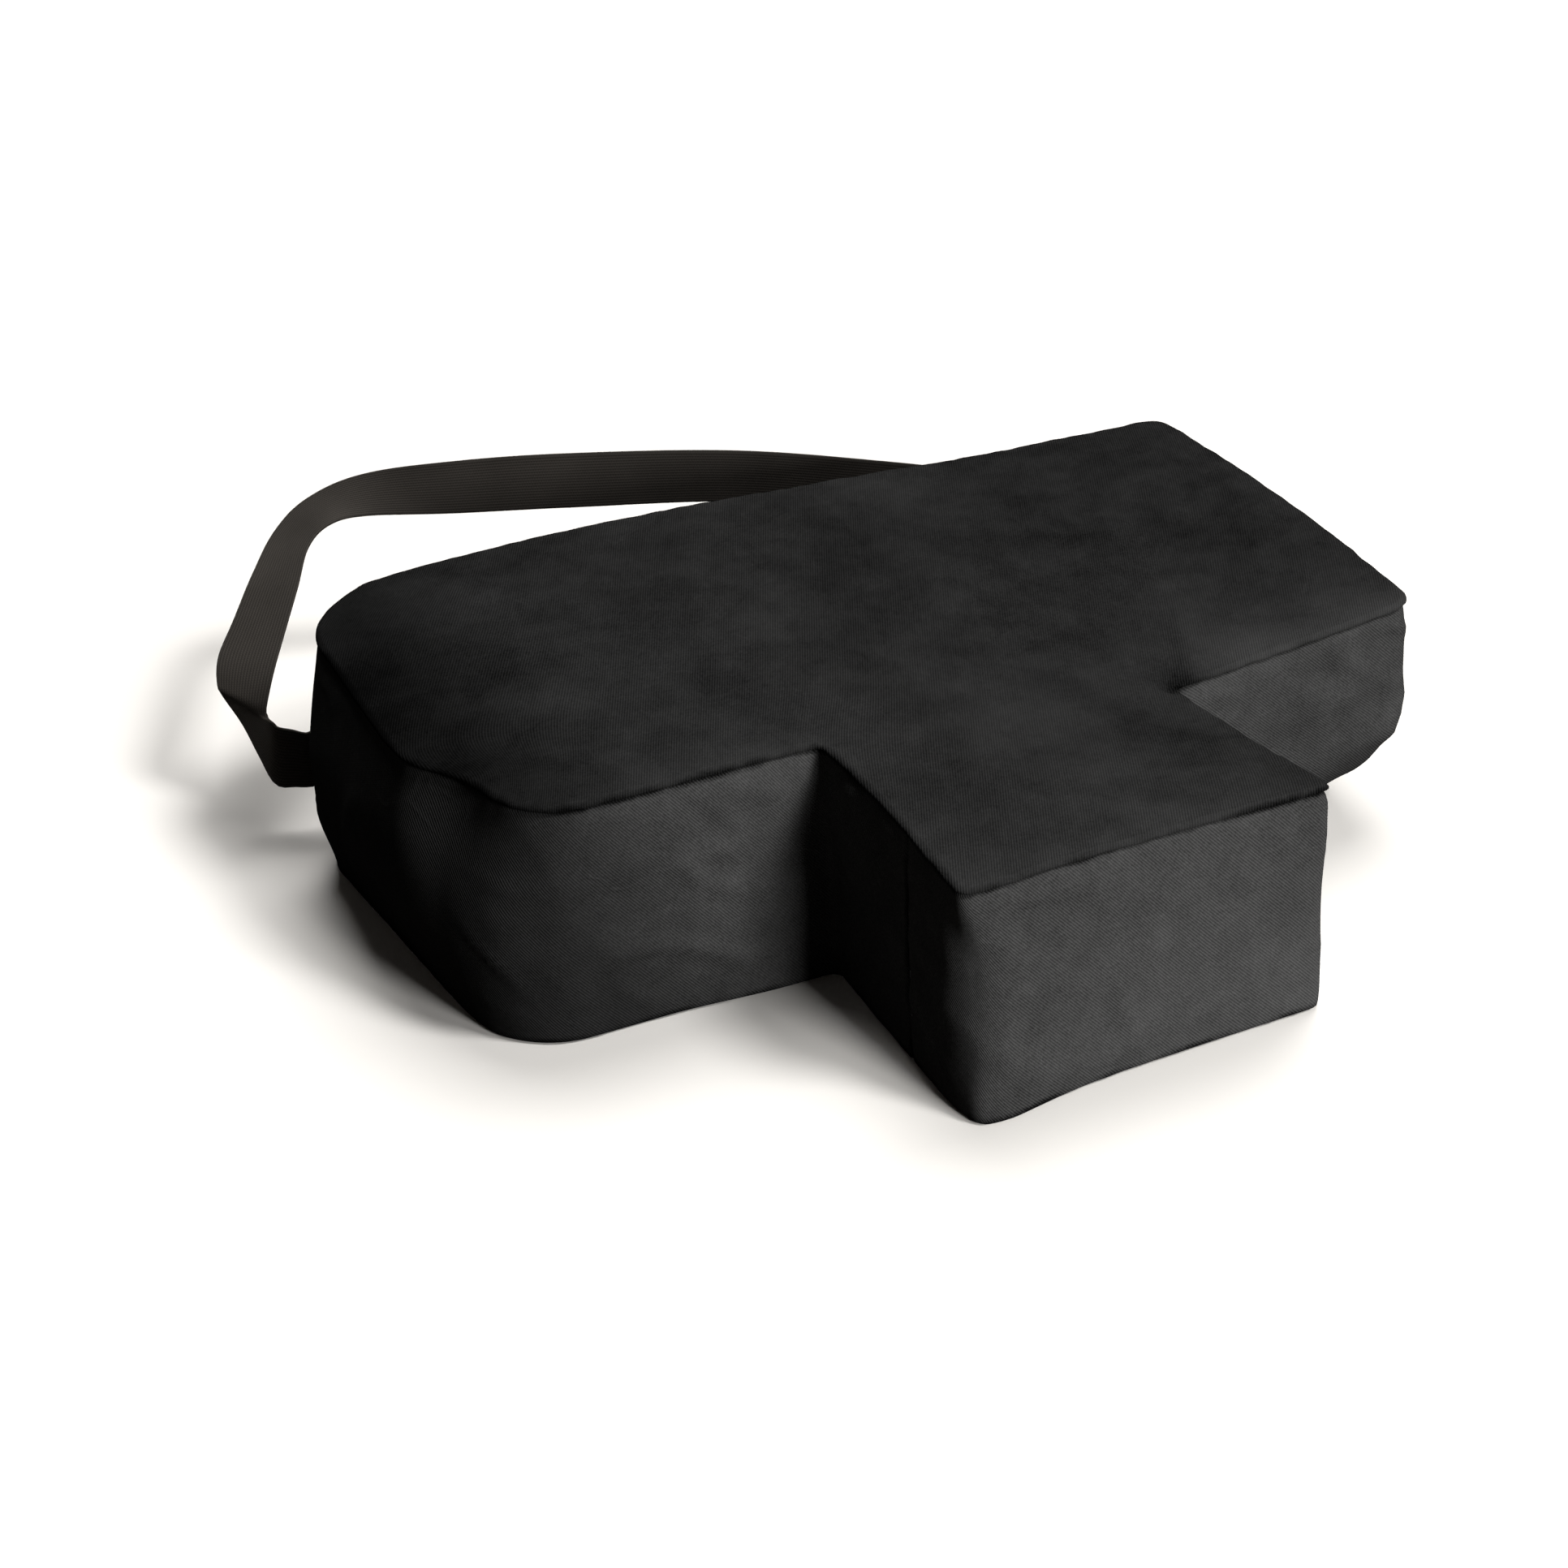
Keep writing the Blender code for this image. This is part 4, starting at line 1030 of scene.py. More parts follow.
def drag_lines(run, height):
    """Slanted drag lines of slack cloth, from 0 to 1, as soft ridges that come and go."""
    lines = np.empty(len(run))
    slant = 0.45
    level = 0.89
    for index, (ahead, up) in enumerate(zip(run.tolist(), height.tolist())):
        across = slant * ahead + level * up
        down = level * ahead - slant * up
        swing = noise.noise(Vector((down * 11.0, across * 34.0, 5.0)))
        ebb = noise.noise(Vector((ahead * 17.0, up * 17.0, 11.0)))
        lines[index] = max(1.0 - 5.0 * abs(swing), 0.0) ** 1.5 * min(max(0.5 + 2.0 * ebb, 0.0), 1.0)
    return lines


def add_t_panel(name, stands_for, up):
    """The T-shaped top or bottom of the cover."""
    sizes = bpy.context.scene.bag_sizes
    loop = closed_loop(t_corners(0.0 if up else FOOT_INSET, PANEL_RADIUS), OUTLINE_STEP)
    points, faces, edge = panel([loop], seam_profile(sizes.seam_roll if up else FOOT_ROLL), sizes.mesh_step)
    flat = points.copy()
    points[:, 2] = HEIGHT + flat[:, 2] if up else -flat[:, 2]
    if not up:
        faces = flip(faces)
    if up:
        pillow_reach = 0.012
        points[:, 2] += sizes.pillow * (1.0 - np.exp(-edge / pillow_reach))
    points = soft_form(points)
    weave = laid_out(flat[:, 0], flat[:, 1], TOP_WEAVE)
    if up:
        points = lumps(creased(points, smooth(edge / SEAM_FADE)), (0.0, 0.0, 1.0), edge, 1.0)
        # The weave's third part carries the top's painted light and shade.
        weave[:, 2] = top_painted_light_and_shade(flat[:, 0], flat[:, 1])
    else:
        points[:, 2] = np.maximum(points[:, 2], 0.0)
    made = sew(
        name, points, faces, "twill", weave, edge, sizes.cloth, stands_for=(stands_for,), finish="twill_top"
    )


def add_side(name, stands_for):
    """A strip of the sides, with a turned seam at each end."""
    sizes = bpy.context.scene.bag_sizes
    path = rounded(side_corners(name), False)
    whole = along(path)[-1]
    ends = np.array([0.0, 0.0005, 0.0011, 0.0020, 0.0034])
    middle = np.linspace(ends[-1], whole - ends[-1], round(whole / COLUMN_STEP))
    columns = np.concatenate([ends, middle[1:-1], whole - ends[::-1]])
    rows = side_rows()
    points, faces, out = strip(path, columns, rows)
    from_end = np.tile(np.minimum(columns, whole - columns), len(rows))
    height = np.repeat([up for inset, up in rows], len(columns))
    edge = np.minimum(from_end, np.minimum(height, HEIGHT - height) - sizes.seam_roll - SEAM_GAP)
    edge = np.maximum(edge, 0.0)
    turn_in = 0.0012
    turn_reach = 0.002
    points -= out * (turn_in * np.clip(1.0 - from_end / turn_reach, 0.0, 1.0) ** 2)[:, None]
    plain = points.copy()
    points = soft_form(end_swell(points, out))
    # The inner right corner is drawn down under the top.
    drawn = 0.0035
    inner = near(plain[:, 0], plain[:, 1], STEM_RIGHT, FRONT, 0.008)
    points[:, 2] -= drawn * inner * smooth((height - HEIGHT + 0.018) / 0.014)
    # The lumps and drag lines fade towards the foot, which stands flat on the floor.
    calm = calm_at_back(plain[:, 1]) * (0.3 + 0.7 * smooth(height / 0.035))
    points = lumps(points, out, edge, 1.5 * calm)
    run = np.tile(columns, len(rows))
    points += out * (sizes.drag * calm * drag_lines(run, height) * smooth(edge / SEAM_FADE))[:, None]
    weave = laid_out(run, height, SIDE_WEAVE)
    # The weave's third part carries painted light on the stem's front.
    weave[:, 2] = stem_painted_light(plain)
    piece = name + "_side_cloth"
    made = sew(piece, points, faces, "twill", weave, edge, sizes.cloth, stands_for=(stands_for,))


def oval_loop(middle_x, middle_z, wide, high, count):
    """Points of an oval hole, run with the clock, and the directions to its right, which point into it."""
    angles = -math.tau * np.arange(count) / count
    points = np.column_stack([middle_x + wide / 2 * np.cos(angles), middle_z + high / 2 * np.sin(angles)])
    return points, facing(points, True)


def arm_holes():
    """Middle, width and height of the two arm holes, read from the sleeves."""
    found = {}
    for name in ("left", "right"):
        low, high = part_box(name + "_sleeve")
        found[name] = ((low.x + high.x) / 2, (low.z + high.z) / 2, high.x - low.x, high.z - low.z)
    return found


def round_hole(hole, wide, tall, y, turn):
    """Points at turns round the middle of an arm hole, at half a width and half a height from it."""
    x = hole[0] + wide * np.cos(turn)
    z = hole[1] + tall * np.sin(turn)
    return np.stack(np.broadcast_arrays(x, y, z), axis=-1)


def back_loops(low, high, step, hole_points):
    """Outline of a panel of the back and, where they get points, of its arm holes, eased for the sleeves."""
    ease = 0.0012
    corners = [(low.x, low.z), (high.x, low.z), (high.x, high.z), (low.x, high.z)]
    loops = [closed_loop([(x, z, LEAST_RADIUS) for x, z in corners], step)]
    if hole_points:
        for middle_x, middle_z, wide, tall in arm_holes().values():
            loops.append(oval_loop(middle_x, middle_z, wide + ease, tall + ease, hole_points))
    return loops


def add_back(name, stands_for, holes):
    """A flat panel of the back, with turned edges."""
    sizes = bpy.context.scene.bag_sizes
    low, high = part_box(stands_for)
    high.z = min(high.z, HEIGHT - WALL)
    loops = back_loops(low, high, OUTLINE_STEP, 110 if holes else 0)
    points, faces, edge = panel(loops, EDGE_PROFILE, sizes.mesh_step)
    flat = points.copy()
    points = np.column_stack([flat[:, 0], BACK + flat[:, 2], flat[:, 1]])
    points = soft_form(points)
    # Slack hardly swells out, so that the cloth stays under the zip, bindings and stitches sewn on it.
    most_out = 0.0003
    ripple = lumps(points, (0.0, 1.0, 0.0), edge, 0.45)
    points[:, 1] = np.minimum(ripple[:, 1], points[:, 1] + most_out)
    weave = laid_out(flat[:, 0], flat[:, 1], SIDE_WEAVE)
    faces = flip(faces)
    made = sew(name, points, faces, "twill", weave, edge, sizes.cloth, stands_for=(stands_for,))


class BAG_OT_cover(bpy.types.Operator):
    """Sew the outer cover of black twill"""

    bl_idname = "bag.cover"
    bl_label = "Cover"

    def execute(self, context):
        add_t_panel("top_cloth", "top_cover", True)
        add_t_panel("bottom_cloth", "bottom_cover", False)
        add_side("left", "left_boxing")
        add_side("right", "right_boxing")
        add_back("back_cloth", "back_panel", True)
        add_back("back_strip_cloth", "back_strip", False)
        return {"FINISHED"}


def curve_through(points, position):
    """Places of a smooth curve through points, at positions counted in points."""
    index = np.minimum(position.astype(int), len(points) - 2)
    share = (position - index)[:, None]
    before = points[np.maximum(index - 1, 0)]
    start = points[index]
    end = points[index + 1]
    after = points[np.minimum(index + 2, len(points) - 1)]
    bend = 2 * before - 5 * start + 4 * end - after
    twist = 3 * start - before - 3 * end + after
    return start + 0.5 * share * (end - before + share * (bend + share * twist))


def strap_edges():
    """The strap's two edges from the end of the left tab to the end of the right tab."""
    sizes = bpy.context.scene.bag_sizes
    half = Vector((0.0, 0.0, sizes.strap_width / 2))

    def tab(name, up):
        low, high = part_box(name)
        middle = Vector((0.0, (low.y + high.y) / 2, STRAP_HEIGHT))
        places = [middle + Vector((x, 0.0, 0.0)) for x in np.linspace(high.x, low.x, 6)]
        return [(place - up, place + up) for place in places]

    stations = tab("left_strap_tab", half)
    for end, rows in ((LEFT, STRAP_LEFT), (RIGHT, STRAP_RIGHT)):
        corner = Vector((end, BACK, STRAP_HEIGHT))
        stations += [(corner + Vector(first), corner + Vector(second)) for first, second in rows]
    stations += tab("right_strap_tab", -half)
    return [np.array([tuple(pair[side]) for pair in stations]) for side in (0, 1)]


class BAG_OT_strap(bpy.types.Operator):
    """Weave the elastic strap and tack its two ends to the back seams"""

    bl_idname = "bag.strap"
    bl_label = "Strap"

    def execute(self, context):
        sizes = context.scene.bag_sizes
        firsts, seconds = strap_edges()
        step = 0.0024
        rough = np.linspace(0.0, len(firsts) - 1, 4000)
        middle = (curve_through(firsts, rough) + curve_through(seconds, rough)) / 2
        far = along(middle)
        columns = np.interp(np.linspace(0.0, far[-1], round(far[-1] / step)), far, rough)
        first = curve_through(firsts, columns)
        second = curve_through(seconds, columns)
        middle = (first + second) / 2
        across = (first - second) / sizes.strap_width
        ahead = np.gradient(middle, axis=0)
        ahead /= np.linalg.norm(ahead, axis=1, keepdims=True)
        face = np.cross(ahead, across)
        face /= np.linalg.norm(face, axis=1, keepdims=True)
        # Round the band: ribs on one face, the selvedge, ribs on the other face, the other selvedge.
        selvedges = 0.0012
        groove = 0.00016
        ribs = 2 * sizes.strap_ribs
        shares = (np.arange(ribs + 1) / ribs - 0.5) * (sizes.strap_width - selvedges)
        thick = sizes.strap_thick / 2 - groove * (np.arange(ribs + 1) % 2)
        ring = list(zip(shares, thick))
        ring.append((sizes.strap_width / 2, 0.0))
        ring += [(share, -half) for share, half in zip(shares[::-1], thick)]
        ring.append((-sizes.strap_width / 2, 0.0))
        ring = np.array(ring)
        points = middle[:, None] + across[:, None] * ring[None, :, :1] + face[:, None] * ring[None, :, 1:]
        count = len(ring)
        faces = grid_faces(len(middle), count, close_columns=True, capped=True)
        run = along(middle)
        weave = laid_out(np.tile(ring[:, 0], len(middle)), np.repeat(run, count))
        nodes = ("strap", "left_strap_tab", "right_strap_tab")
        points = points.reshape(-1, 3)
        strap = sew("elastic_strap", points, faces, "elastic", weave, body="", stands_for=nodes)
        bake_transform(strap)
        for name in ("left", "right"):
            self.add_tack(name)
        return {"FINISHED"}

    def add_tack(self, name):
        """A bar tack: close zigzag stitches over the end of the strap."""
        low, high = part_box(name + "_bar_tack")
        count = 45
        lift = 0.0002
        radius = 0.00032
        path = np.column_stack(
            [
                np.where(np.arange(count) % 2 == 0, low.x, high.x),
                np.full(count, low.y + lift),
                low.z + (high.z - low.z) * np.linspace(0.0, 1.0, count),
            ]
        )
        points, faces = tube(path, radius)
        sew(name + "_bar_tack_thread", points, faces, "thread", stands_for=(name + "_bar_tack",))


def tube(path, radius):
    """A closed round thread along a path."""
    sides = THREAD_SIDES
    ahead = np.gradient(path, axis=0)
    ahead /= np.linalg.norm(ahead, axis=1, keepdims=True)
    helper = np.array([0.0, 1.0, 0.0])
    first = np.cross(ahead, helper)
    first /= np.maximum(np.linalg.norm(first, axis=1, keepdims=True), 1e-9)
    second = np.cross(ahead, first)
    turns = math.tau * np.arange(sides) / sides
    ring = first[:, None] * np.cos(turns)[None, :, None] + second[:, None] * np.sin(turns)[None, :, None]
    points = (path[:, None] + radius * ring).reshape(-1, 3)
    return points, grid_faces(len(path), sides, close_columns=True, flipped=True, capped=True)


def stitches(starts, ends):
    """Short sewn stitches between pairs of places on the back, each a little rod that bows off the cloth."""
    points = []
    faces = []
    count = 0
    lift = np.array([0.0, STITCH_LIFT, 0.0])
    for start, end in zip(starts, ends):
        path = np.stack([start, start * 0.7 + end * 0.3 + lift, start * 0.3 + end * 0.7 + lift, end])
        rod, skin = tube(path, THREAD_RADIUS)
        points.append(rod)
        faces += shifted(skin, count)
        count += len(rod)
    return np.concatenate(points), faces


class BAG_OT_zip(bpy.types.Operator):
    """Set the teeth of the zip on their tapes and finish the slider, pull and stops"""

    bl_idname = "bag.zip"
    bl_label = "Zip"

    def execute(self, context):
        for name, side in (("upper", 1), ("lower", -1)):
            self.add_tape(name, side)
            self.add_teeth(name, side, context.scene.bag_sizes.tooth_pitch)
        for name in ("zip_slider", "zip_pull", "zip_stop_left", "zip_stop_right"):
            self.finish_metal(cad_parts[name])
        self.add_topstitch()
        return {"FINISHED"}

    def finish_metal(self, node):
        """Plate a metal piece of the frame and soften its edges."""
        node.data.materials.clear()
        node.data.materials.append(finish_of("metal"))
        soft = node.modifiers.new("soft_edges", "BEVEL")
        soft.width = 0.00025
        soft.segments = 2
        soft.limit_method = "ANGLE"

    def add_tape(self, name, side):
        """A tape with a thicker cord along the edge that carries the teeth."""
        node = "zip_tape_" + name
        low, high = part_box(node)
        inner_edge = low.z if side > 0 else high.z
        wide = high.z - low.z
        cord = 0.0002
        across = np.array([0.0, 0.0004, 0.0010, 0.0016, 0.0024, 0.0050, 0.0080, 0.0110, wide])
        raised = np.array([0.0, cord, cord, cord, 0.0, 0.0, 0.0, 0.0, 0.0])
        columns = np.linspace(low.x, high.x, 120)
        rows = len(across)
        points = np.zeros((rows, len(columns), 3))
        points[..., 0] = columns
        points[..., 1] = (high.y - cord + raised)[:, None]
        points[..., 2] = (inner_edge + side * across)[:, None]
        faces = grid_faces(rows, len(columns), flipped=True)
        if side < 0:
            faces = flip(faces)
        weave = laid_out(np.repeat(across, len(columns)), np.tile(columns, rows))
        made = sew(
            "zip_tape_cloth_" + name,
            points.reshape(-1, 3),
            faces,
            "tape",
            weave,
            thickness=0.0005,
            stands_for=(node,),
        )

    def add_teeth(self, name, side, pitch):
        """A row of moulded teeth, each with a foot on the tape and a rounder head."""
        node = "zip_teeth_" + name
        low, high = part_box(node)
        shift = pitch / 2 if side < 0 else 0.0
        start_gap = 0.0008
        end_gap = 0.0016
        overreach = 0.0002
        places = np.arange(low.x + start_gap, high.x - end_gap, pitch) + shift
        foot = high.z if side > 0 else low.z
        tip = (low.z - overreach) if side > 0 else (high.z + overreach)
        # A tooth's foot and right side, then its mirrored left side, in millimetres across and shares of its
        # length.
        outline = np.array([[-0.45, 0.0], [0.45, 0.0], [0.42, 0.62], [0.62, 0.80], [0.36, 1.0]])
        outline = np.concatenate([outline, outline[2:][::-1] * [-1.0, 1.0]])
        # Where a tooth's three outlines lie, from the tape to its face, and how large they are.
        layers = ((low.y + 0.0001, 1.0), (high.y - 0.0003, 1.0), (high.y, 0.75))
        skin = grid_faces(len(layers), len(outline), close_columns=True, capped=True)
        points = []
        faces = []
        for place in places.tolist():
            faces += shifted(skin, len(points))
            for y, narrow in layers:
                for across, share in outline.tolist():
                    x = place + across * narrow * 0.001
                    z = foot + (tip - foot) * (0.03 + 0.94 * share * narrow)
                    points.append((x, y, z))
        if side > 0:
            faces = flip(faces)
        made = sew("zip_tooth_row_" + name, points, faces, "nylon", stands_for=(node,))
        made.data.polygons.foreach_set("use_smooth", np.zeros(len(made.data.polygons), bool))

    def add_topstitch(self):
        """Lines of stitching along both edges of the zip."""
        low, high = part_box("back_panel")
        strip_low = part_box("back_strip")[0].z
        step = 0.0034
        stitch = np.array([0.0026, 0.0, 0.0])
        from_edge = 0.0028
        places = np.arange(low.x + 0.004, high.x - 0.006, step)
        lines = []
        for z in (high.z - from_edge, strip_low + from_edge):
            line = np.column_stack([places, np.full(len(places), BACK + 0.00005), np.full(len(places), z)])
            lines.append(line)
        starts = np.concatenate(lines)
        points, faces = stitches(starts, starts + stitch)
        sew("zip_topstitch", points, faces, "thread")


class BAG_OT_sleeves(bpy.types.Operator):
    """Gather the two arm sleeves into their elastic cuffs and bind the arm holes"""

    bl_idname = "bag.sleeves"
    bl_label = "Sleeves"

    def execute(self, context):
        for name in ("left", "right"):
            self.add_sleeve(name)
            self.add_cuff(name)
            self.add_binding(name)
        return {"FINISHED"}

    def ring_points(self, name, shares, sides, grow):
        """Points round a sleeve at shares of its length, grown by a function of turn and share."""
        low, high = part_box(name + "_sleeve")
        hole = arm_holes()[name]
        mouth = np.array(hole[2:]) / 2 - SLEEVE_EASE
        end = SLEEVE_END
        turns = math.tau * np.arange(sides) / sides
        share, turn = np.meshgrid(shares, turns, indexing="ij")
        extra = grow(turn, share)
        wide = mouth[0] + (end[0] - mouth[0]) * share + extra
        tall = mouth[1] + (end[1] - mouth[1]) * share + extra
        points = round_hole(hole, wide, tall, high.y + (low.y - high.y) * share, turn)
        faces = grid_faces(len(shares), sides, close_columns=True)
        # The weave is laid out by about the sleeve's radius and its length.
        radius = 0.05
        reach = 0.11
        weave = laid_out(turn.ravel() * radius, share.ravel() * reach)
        return points.reshape(-1, 3), faces, weave

    def add_sleeve(self, name):
        """A tapered sleeve whose folds deepen towards the cuff."""
        shift = 0.7 if name == "left" else 2.1

        def folds(turn, share):
            deep = 0.0019 * smooth((share - 0.12) / 0.6)
            sway = np.sin(3 * turn + shift + 2 * share) * 0.5
            fine = np.sin(23 * turn + 3 * sway)
            broad = 0.5 * np.sin(9 * turn + 5 * share + shift)
            return deep * (fine + broad) - 0.6 * deep

        points, faces, weave = self.ring_points(name, np.linspace(0.0, 1.0, 46), 184, folds)
        nodes = (name + "_sleeve",)
        made = sew(name + "_sleeve_cloth", points, faces, "lining", weave, thickness=0.0009, stands_for=nodes)

    def add_cuff(self, name):
        """An elastic cuff with close ribs."""
        low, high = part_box(name + "_cuff")
        sleeve_low, sleeve_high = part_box(name + "_sleeve")
        reach = sleeve_high.y - sleeve_low.y
        shares = (sleeve_high.y - np.linspace(high.y, low.y, 13)) / reach

        def ribs(turn, share):
            belly = np.sin(math.pi * (share - shares[0]) / (shares[-1] - shares[0]))
            return 0.0022 + 0.0009 * belly + 0.00045 * np.sin(58 * turn)

        points, faces, weave = self.ring_points(name, shares, 232, ribs)
        nodes = (name + "_cuff",)
        made = sew(name + "_cuff_elastic", points, faces, "tape", weave, thickness=0.0012, stands_for=nodes)

    def add_binding(self, name):
        """A folded binding sewn round the arm hole, with its stitches."""
        node = name + "_arm_binding"
        low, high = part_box(node)
        hole = arm_holes()[name]
        wide, tall = hole[2:]
        sides = 150
        turns = math.tau * np.arange(sides) / sides
        broad = (high.x - low.x - wide) / 2 - 0.0004
        # Its section, as shares of its width and its thickness.
        section = np.array(
            [[0.0, 0.0], [0.0, 0.6], [0.08, 0.9], [0.3, 1.0], [0.7, 1.0], [0.92, 0.8], [1.0, 0.4], [1.0, 0.0]]
        )
        ripple = 1.0 + 0.10 * np.sin(31 * turns) + 0.06 * np.sin(47 * turns + 1.0)
        reach = SLEEVE_EASE + broad * section[:, 0]
        y = low.y + (high.y - low.y) * section[:, 1] * ripple[:, None]
        points = round_hole(hole, wide / 2 + reach, tall / 2 + reach, y, turns[:, None]).reshape(-1, 3)
        faces = grid_faces(sides, len(section), close_rows=True, close_columns=True)
        radius = 0.045
        weave = laid_out(np.tile(section[:, 0] * broad, sides), np.repeat(turns * radius, len(section)))
        ring = sew(node + "_tape", points, faces, "tape", weave, stands_for=(node,))
        count = 84
        stitch_turn = 0.052
        spots = math.tau * np.arange(count) / count
        reach = SLEEVE_EASE + 0.55 * broad

        def place(turn):
            return round_hole(hole, wide / 2 + reach, tall / 2 + reach, high.y, turn)

        points, faces = stitches(place(spots), place(spots + stitch_turn))
        sew(node + "_stitches", points, faces, "thread")


def t_layer(name, node, slot, inset, thick, lumpy):
    """A T-shaped inner layer that starts at its node's foot, with rounded edges, in the bag's soft form."""
    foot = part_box(node)[0].z
    half = min(thick / 2, 0.0025)
    least_radius = 0.0062
    outline_step = 0.005
    loop = closed_loop(t_corners(inset, least_radius), outline_step)
    profile = [(0.0, -half), (0.3 * half, -0.3 * half), (half, 0.0), (2.5 * half, 0.0)]
    points, faces, edge = panel([loop], profile, T_STEP)
    top = np.column_stack([points[:, :2], foot + thick + points[:, 2]])
    under = np.column_stack([points[:, :2], foot - points[:, 2]])
    count = len(points)
    rim = len(loop[0])
    faces = faces + shifted(flip(faces), count)
    for index in range(rim):
        beside = (index + 1) % rim
        faces.append([index, count + index, count + beside, beside])
    both = soft_form(np.concatenate([top, under]))
    # Under the top the creases go deeper, so that the layer stays below the cloth.
    if lumpy:
        both = lumps(creased(both, 1.6), (0.0, 0.0, 1.0), np.tile(edge, 2) + inset, 1.0)
    weave = laid_out(np.tile(points[:, 0], 2), np.tile(points[:, 1], 2))
    return sew(name, both, faces, slot, weave, stands_for=(node,))


def wall_layer(name, node, slot, inset, thick):
    """A standing inner layer all along the sides, in the bag's soft form, with its length and height."""
    low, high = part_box(node)
    path = rounded(side_corners("both", inset), False)
    whole = along(path)[-1]
    columns = np.linspace(0.0, whole, round(whole / LAYER_STEP))
    heights = np.linspace(low.z, high.z, max(4, round((high.z - low.z) / LAYER_STEP)))
    points, faces, out = strip(path, columns, [(0.0, up) for up in heights])
    weave = laid_out(np.tile(columns, len(heights)), np.repeat(heights, len(columns)))
    calm = calm_at_back(points[:, 1])
    points = lumps(soft_form(points), out, FAR_FROM_SEAM, calm)
    made = sew(name, points, faces, slot, weave, thickness=thick, stands_for=(node,))
    return made, (whole, high.z - low.z)


# Size of the voxels that make a foam block's mesh even, and the way that each block faces out.
FOAM_VOXEL = 0.0024
FOAM_FACES = {
    "front_left_board": (0, -1, 0),
    "front_right_board": (0, -1, 0),
    "stem_left_board": (-1, 0, 0),
    "stem_right_board": (1, 0, 0),
    "stem_front_board": (0, -1, 0),
    "left_end_pad": (-1, 0, 0),
    "right_end_pad": (1, 0, 0),
}


def soft_block(name, node, out):
    """A foam block from its node: an even mesh with softened edges, in the bag's soft form."""
    rough = bpy.data.objects.new(name + "_rough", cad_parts[node].data.copy())
    bpy.context.scene.collection.objects.link(rough)
    even = rough.modifiers.new("even_mesh", "REMESH")
    even.mode = "VOXEL"
    even.voxel_size = FOAM_VOXEL
    soft = rough.modifiers.new("soft_edges", "SMOOTH")
    soft.factor = 0.5
    soft.iterations = 3
    bpy.context.view_layer.update()
    mesh = bpy.data.meshes.new_from_object(rough.evaluated_get(bpy.context.evaluated_depsgraph_get()))
    points = np.array([tuple(point.co) for point in mesh.vertices])
    faces = [list(face.vertices) for face in mesh.polygons]
    bpy.data.objects.remove(rough, do_unlink=True)
    calm = calm_at_back(points[:, 1])
    points = lumps(soft_form(held(points)), out, FAR_FROM_SEAM, calm)
    made = sew(name, points, faces, "foam", stands_for=(node,))


class BAG_OT_foam(bpy.types.Operator):
    """Lay the foam boards and end pads inside the cover"""

    bl_idname = "bag.foam"
    bl_label = "Foam"

    def execute(self, context):
        for name in ("top", "bottom"):
            piece = "foam_" + name
            made = t_layer(piece, name + "_board", "foam", inset=0.0042, thick=0.006, lumpy=name == "top")
        for node, out in FOAM_FACES.items():
            soft_block("foam_" + node.replace("_board", "").replace("_pad", ""), node, out)
        return {"FINISHED"}


class BAG_OT_lining(bpy.types.Operator):
    """Hang the light-tight lining, bind its seams and hang the light flap"""

    bl_idname = "bag.lining"
    bl_label = "Lining"

    def execute(self, context):
        for name in ("top", "bottom"):
            piece = name + "_lining_cloth"
            made = t_layer(piece, name + "_lining", "lining", inset=0.0084, thick=0.0008, lumpy=name == "top")
            piece = name + "_seam_binding"
            made, size = wall_layer(piece, name + "_binding", "tape", inset=0.0090, thick=0.0008)
        made, size = wall_layer("side_lining_cloth", "side_lining", "lining", inset=0.0079, thick=0.0006)
        self.add_back_lining()
        self.add_flap()
        return {"FINISHED"}

    def add_back_lining(self):
        """The lining of the back, with the two arm holes."""
        low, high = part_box("back_lining")
        loops = back_loops(low, high, 0.004, 90)
        points, faces, _ = panel(loops, [(0.0, 0.0), (0.001, 0.0)], 0.007)
        weave = laid_out(points[:, 0], points[:, 1])
        places = np.column_stack([points[:, 0], np.full(len(points), high.y), points[:, 1]])
        faces = flip(faces)
        nodes = ("back_lining",)
        made = sew("back_lining_cloth", places, faces, "lining", weave, thickness=0.0007, stands_for=nodes)

    def add_flap(self):
        """The light flap, with a folded hem along its lower edge and slight waves."""
        low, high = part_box("light_flap")
        hem_deep = 0.004
        columns = np.linspace(low.x, high.x, 150)
        hem_rows = low.z + np.array([0.0035, 0.002, 0.0008, 0.0])
        heights = np.concatenate([np.linspace(high.z, low.z + hem_deep, 9), hem_rows])
        x, z = np.meshgrid(columns, heights)
        hang = (high.z - z) / (high.z - low.z)
        # The waves only lean inwards, away from the zip.
        wave = 0.0012 * hang * (np.sin(x * 61.0) + 0.6 * np.sin(x * 37.0 + 1.0) - 1.6)
        hem = np.where(z < low.z + 0.0037, 0.0002, 0.0)
        y = (low.y + high.y) / 2 + wave + hem
        points = np.stack([x, y, z], axis=-1).reshape(-1, 3)
        faces = grid_faces(len(heights), len(columns))
        weave = laid_out(x.ravel(), z.ravel())
        made = sew(
            "light_flap_cloth",
            points,
            faces,
            "lining",
            weave,
            thickness=0.0007,
            body="flap",
            stands_for=("light_flap",),
        )


# The camera's place, the way it looks, its roll in degrees, and its lens and film in millimetres.
CAMERA_PLACE = (-0.5384, -1.1790, 0.7852)
CAMERA_AIM = (0.33396, 0.79357, -0.50864)
CAMERA_ROLL = -2.77
CAMERA_LENS = 72.48
CAMERA_FILM = 36.0

# How far the floor reaches, its colour where it lights the bag, and the dim even light of the studio.
FLOOR_REACH = 5.0
FLOOR_BACK = (0.06, 0.056, 0.053)
STUDIO_TINT = (1.0, 0.92, 0.84)
STUDIO_LIGHT = 0.015


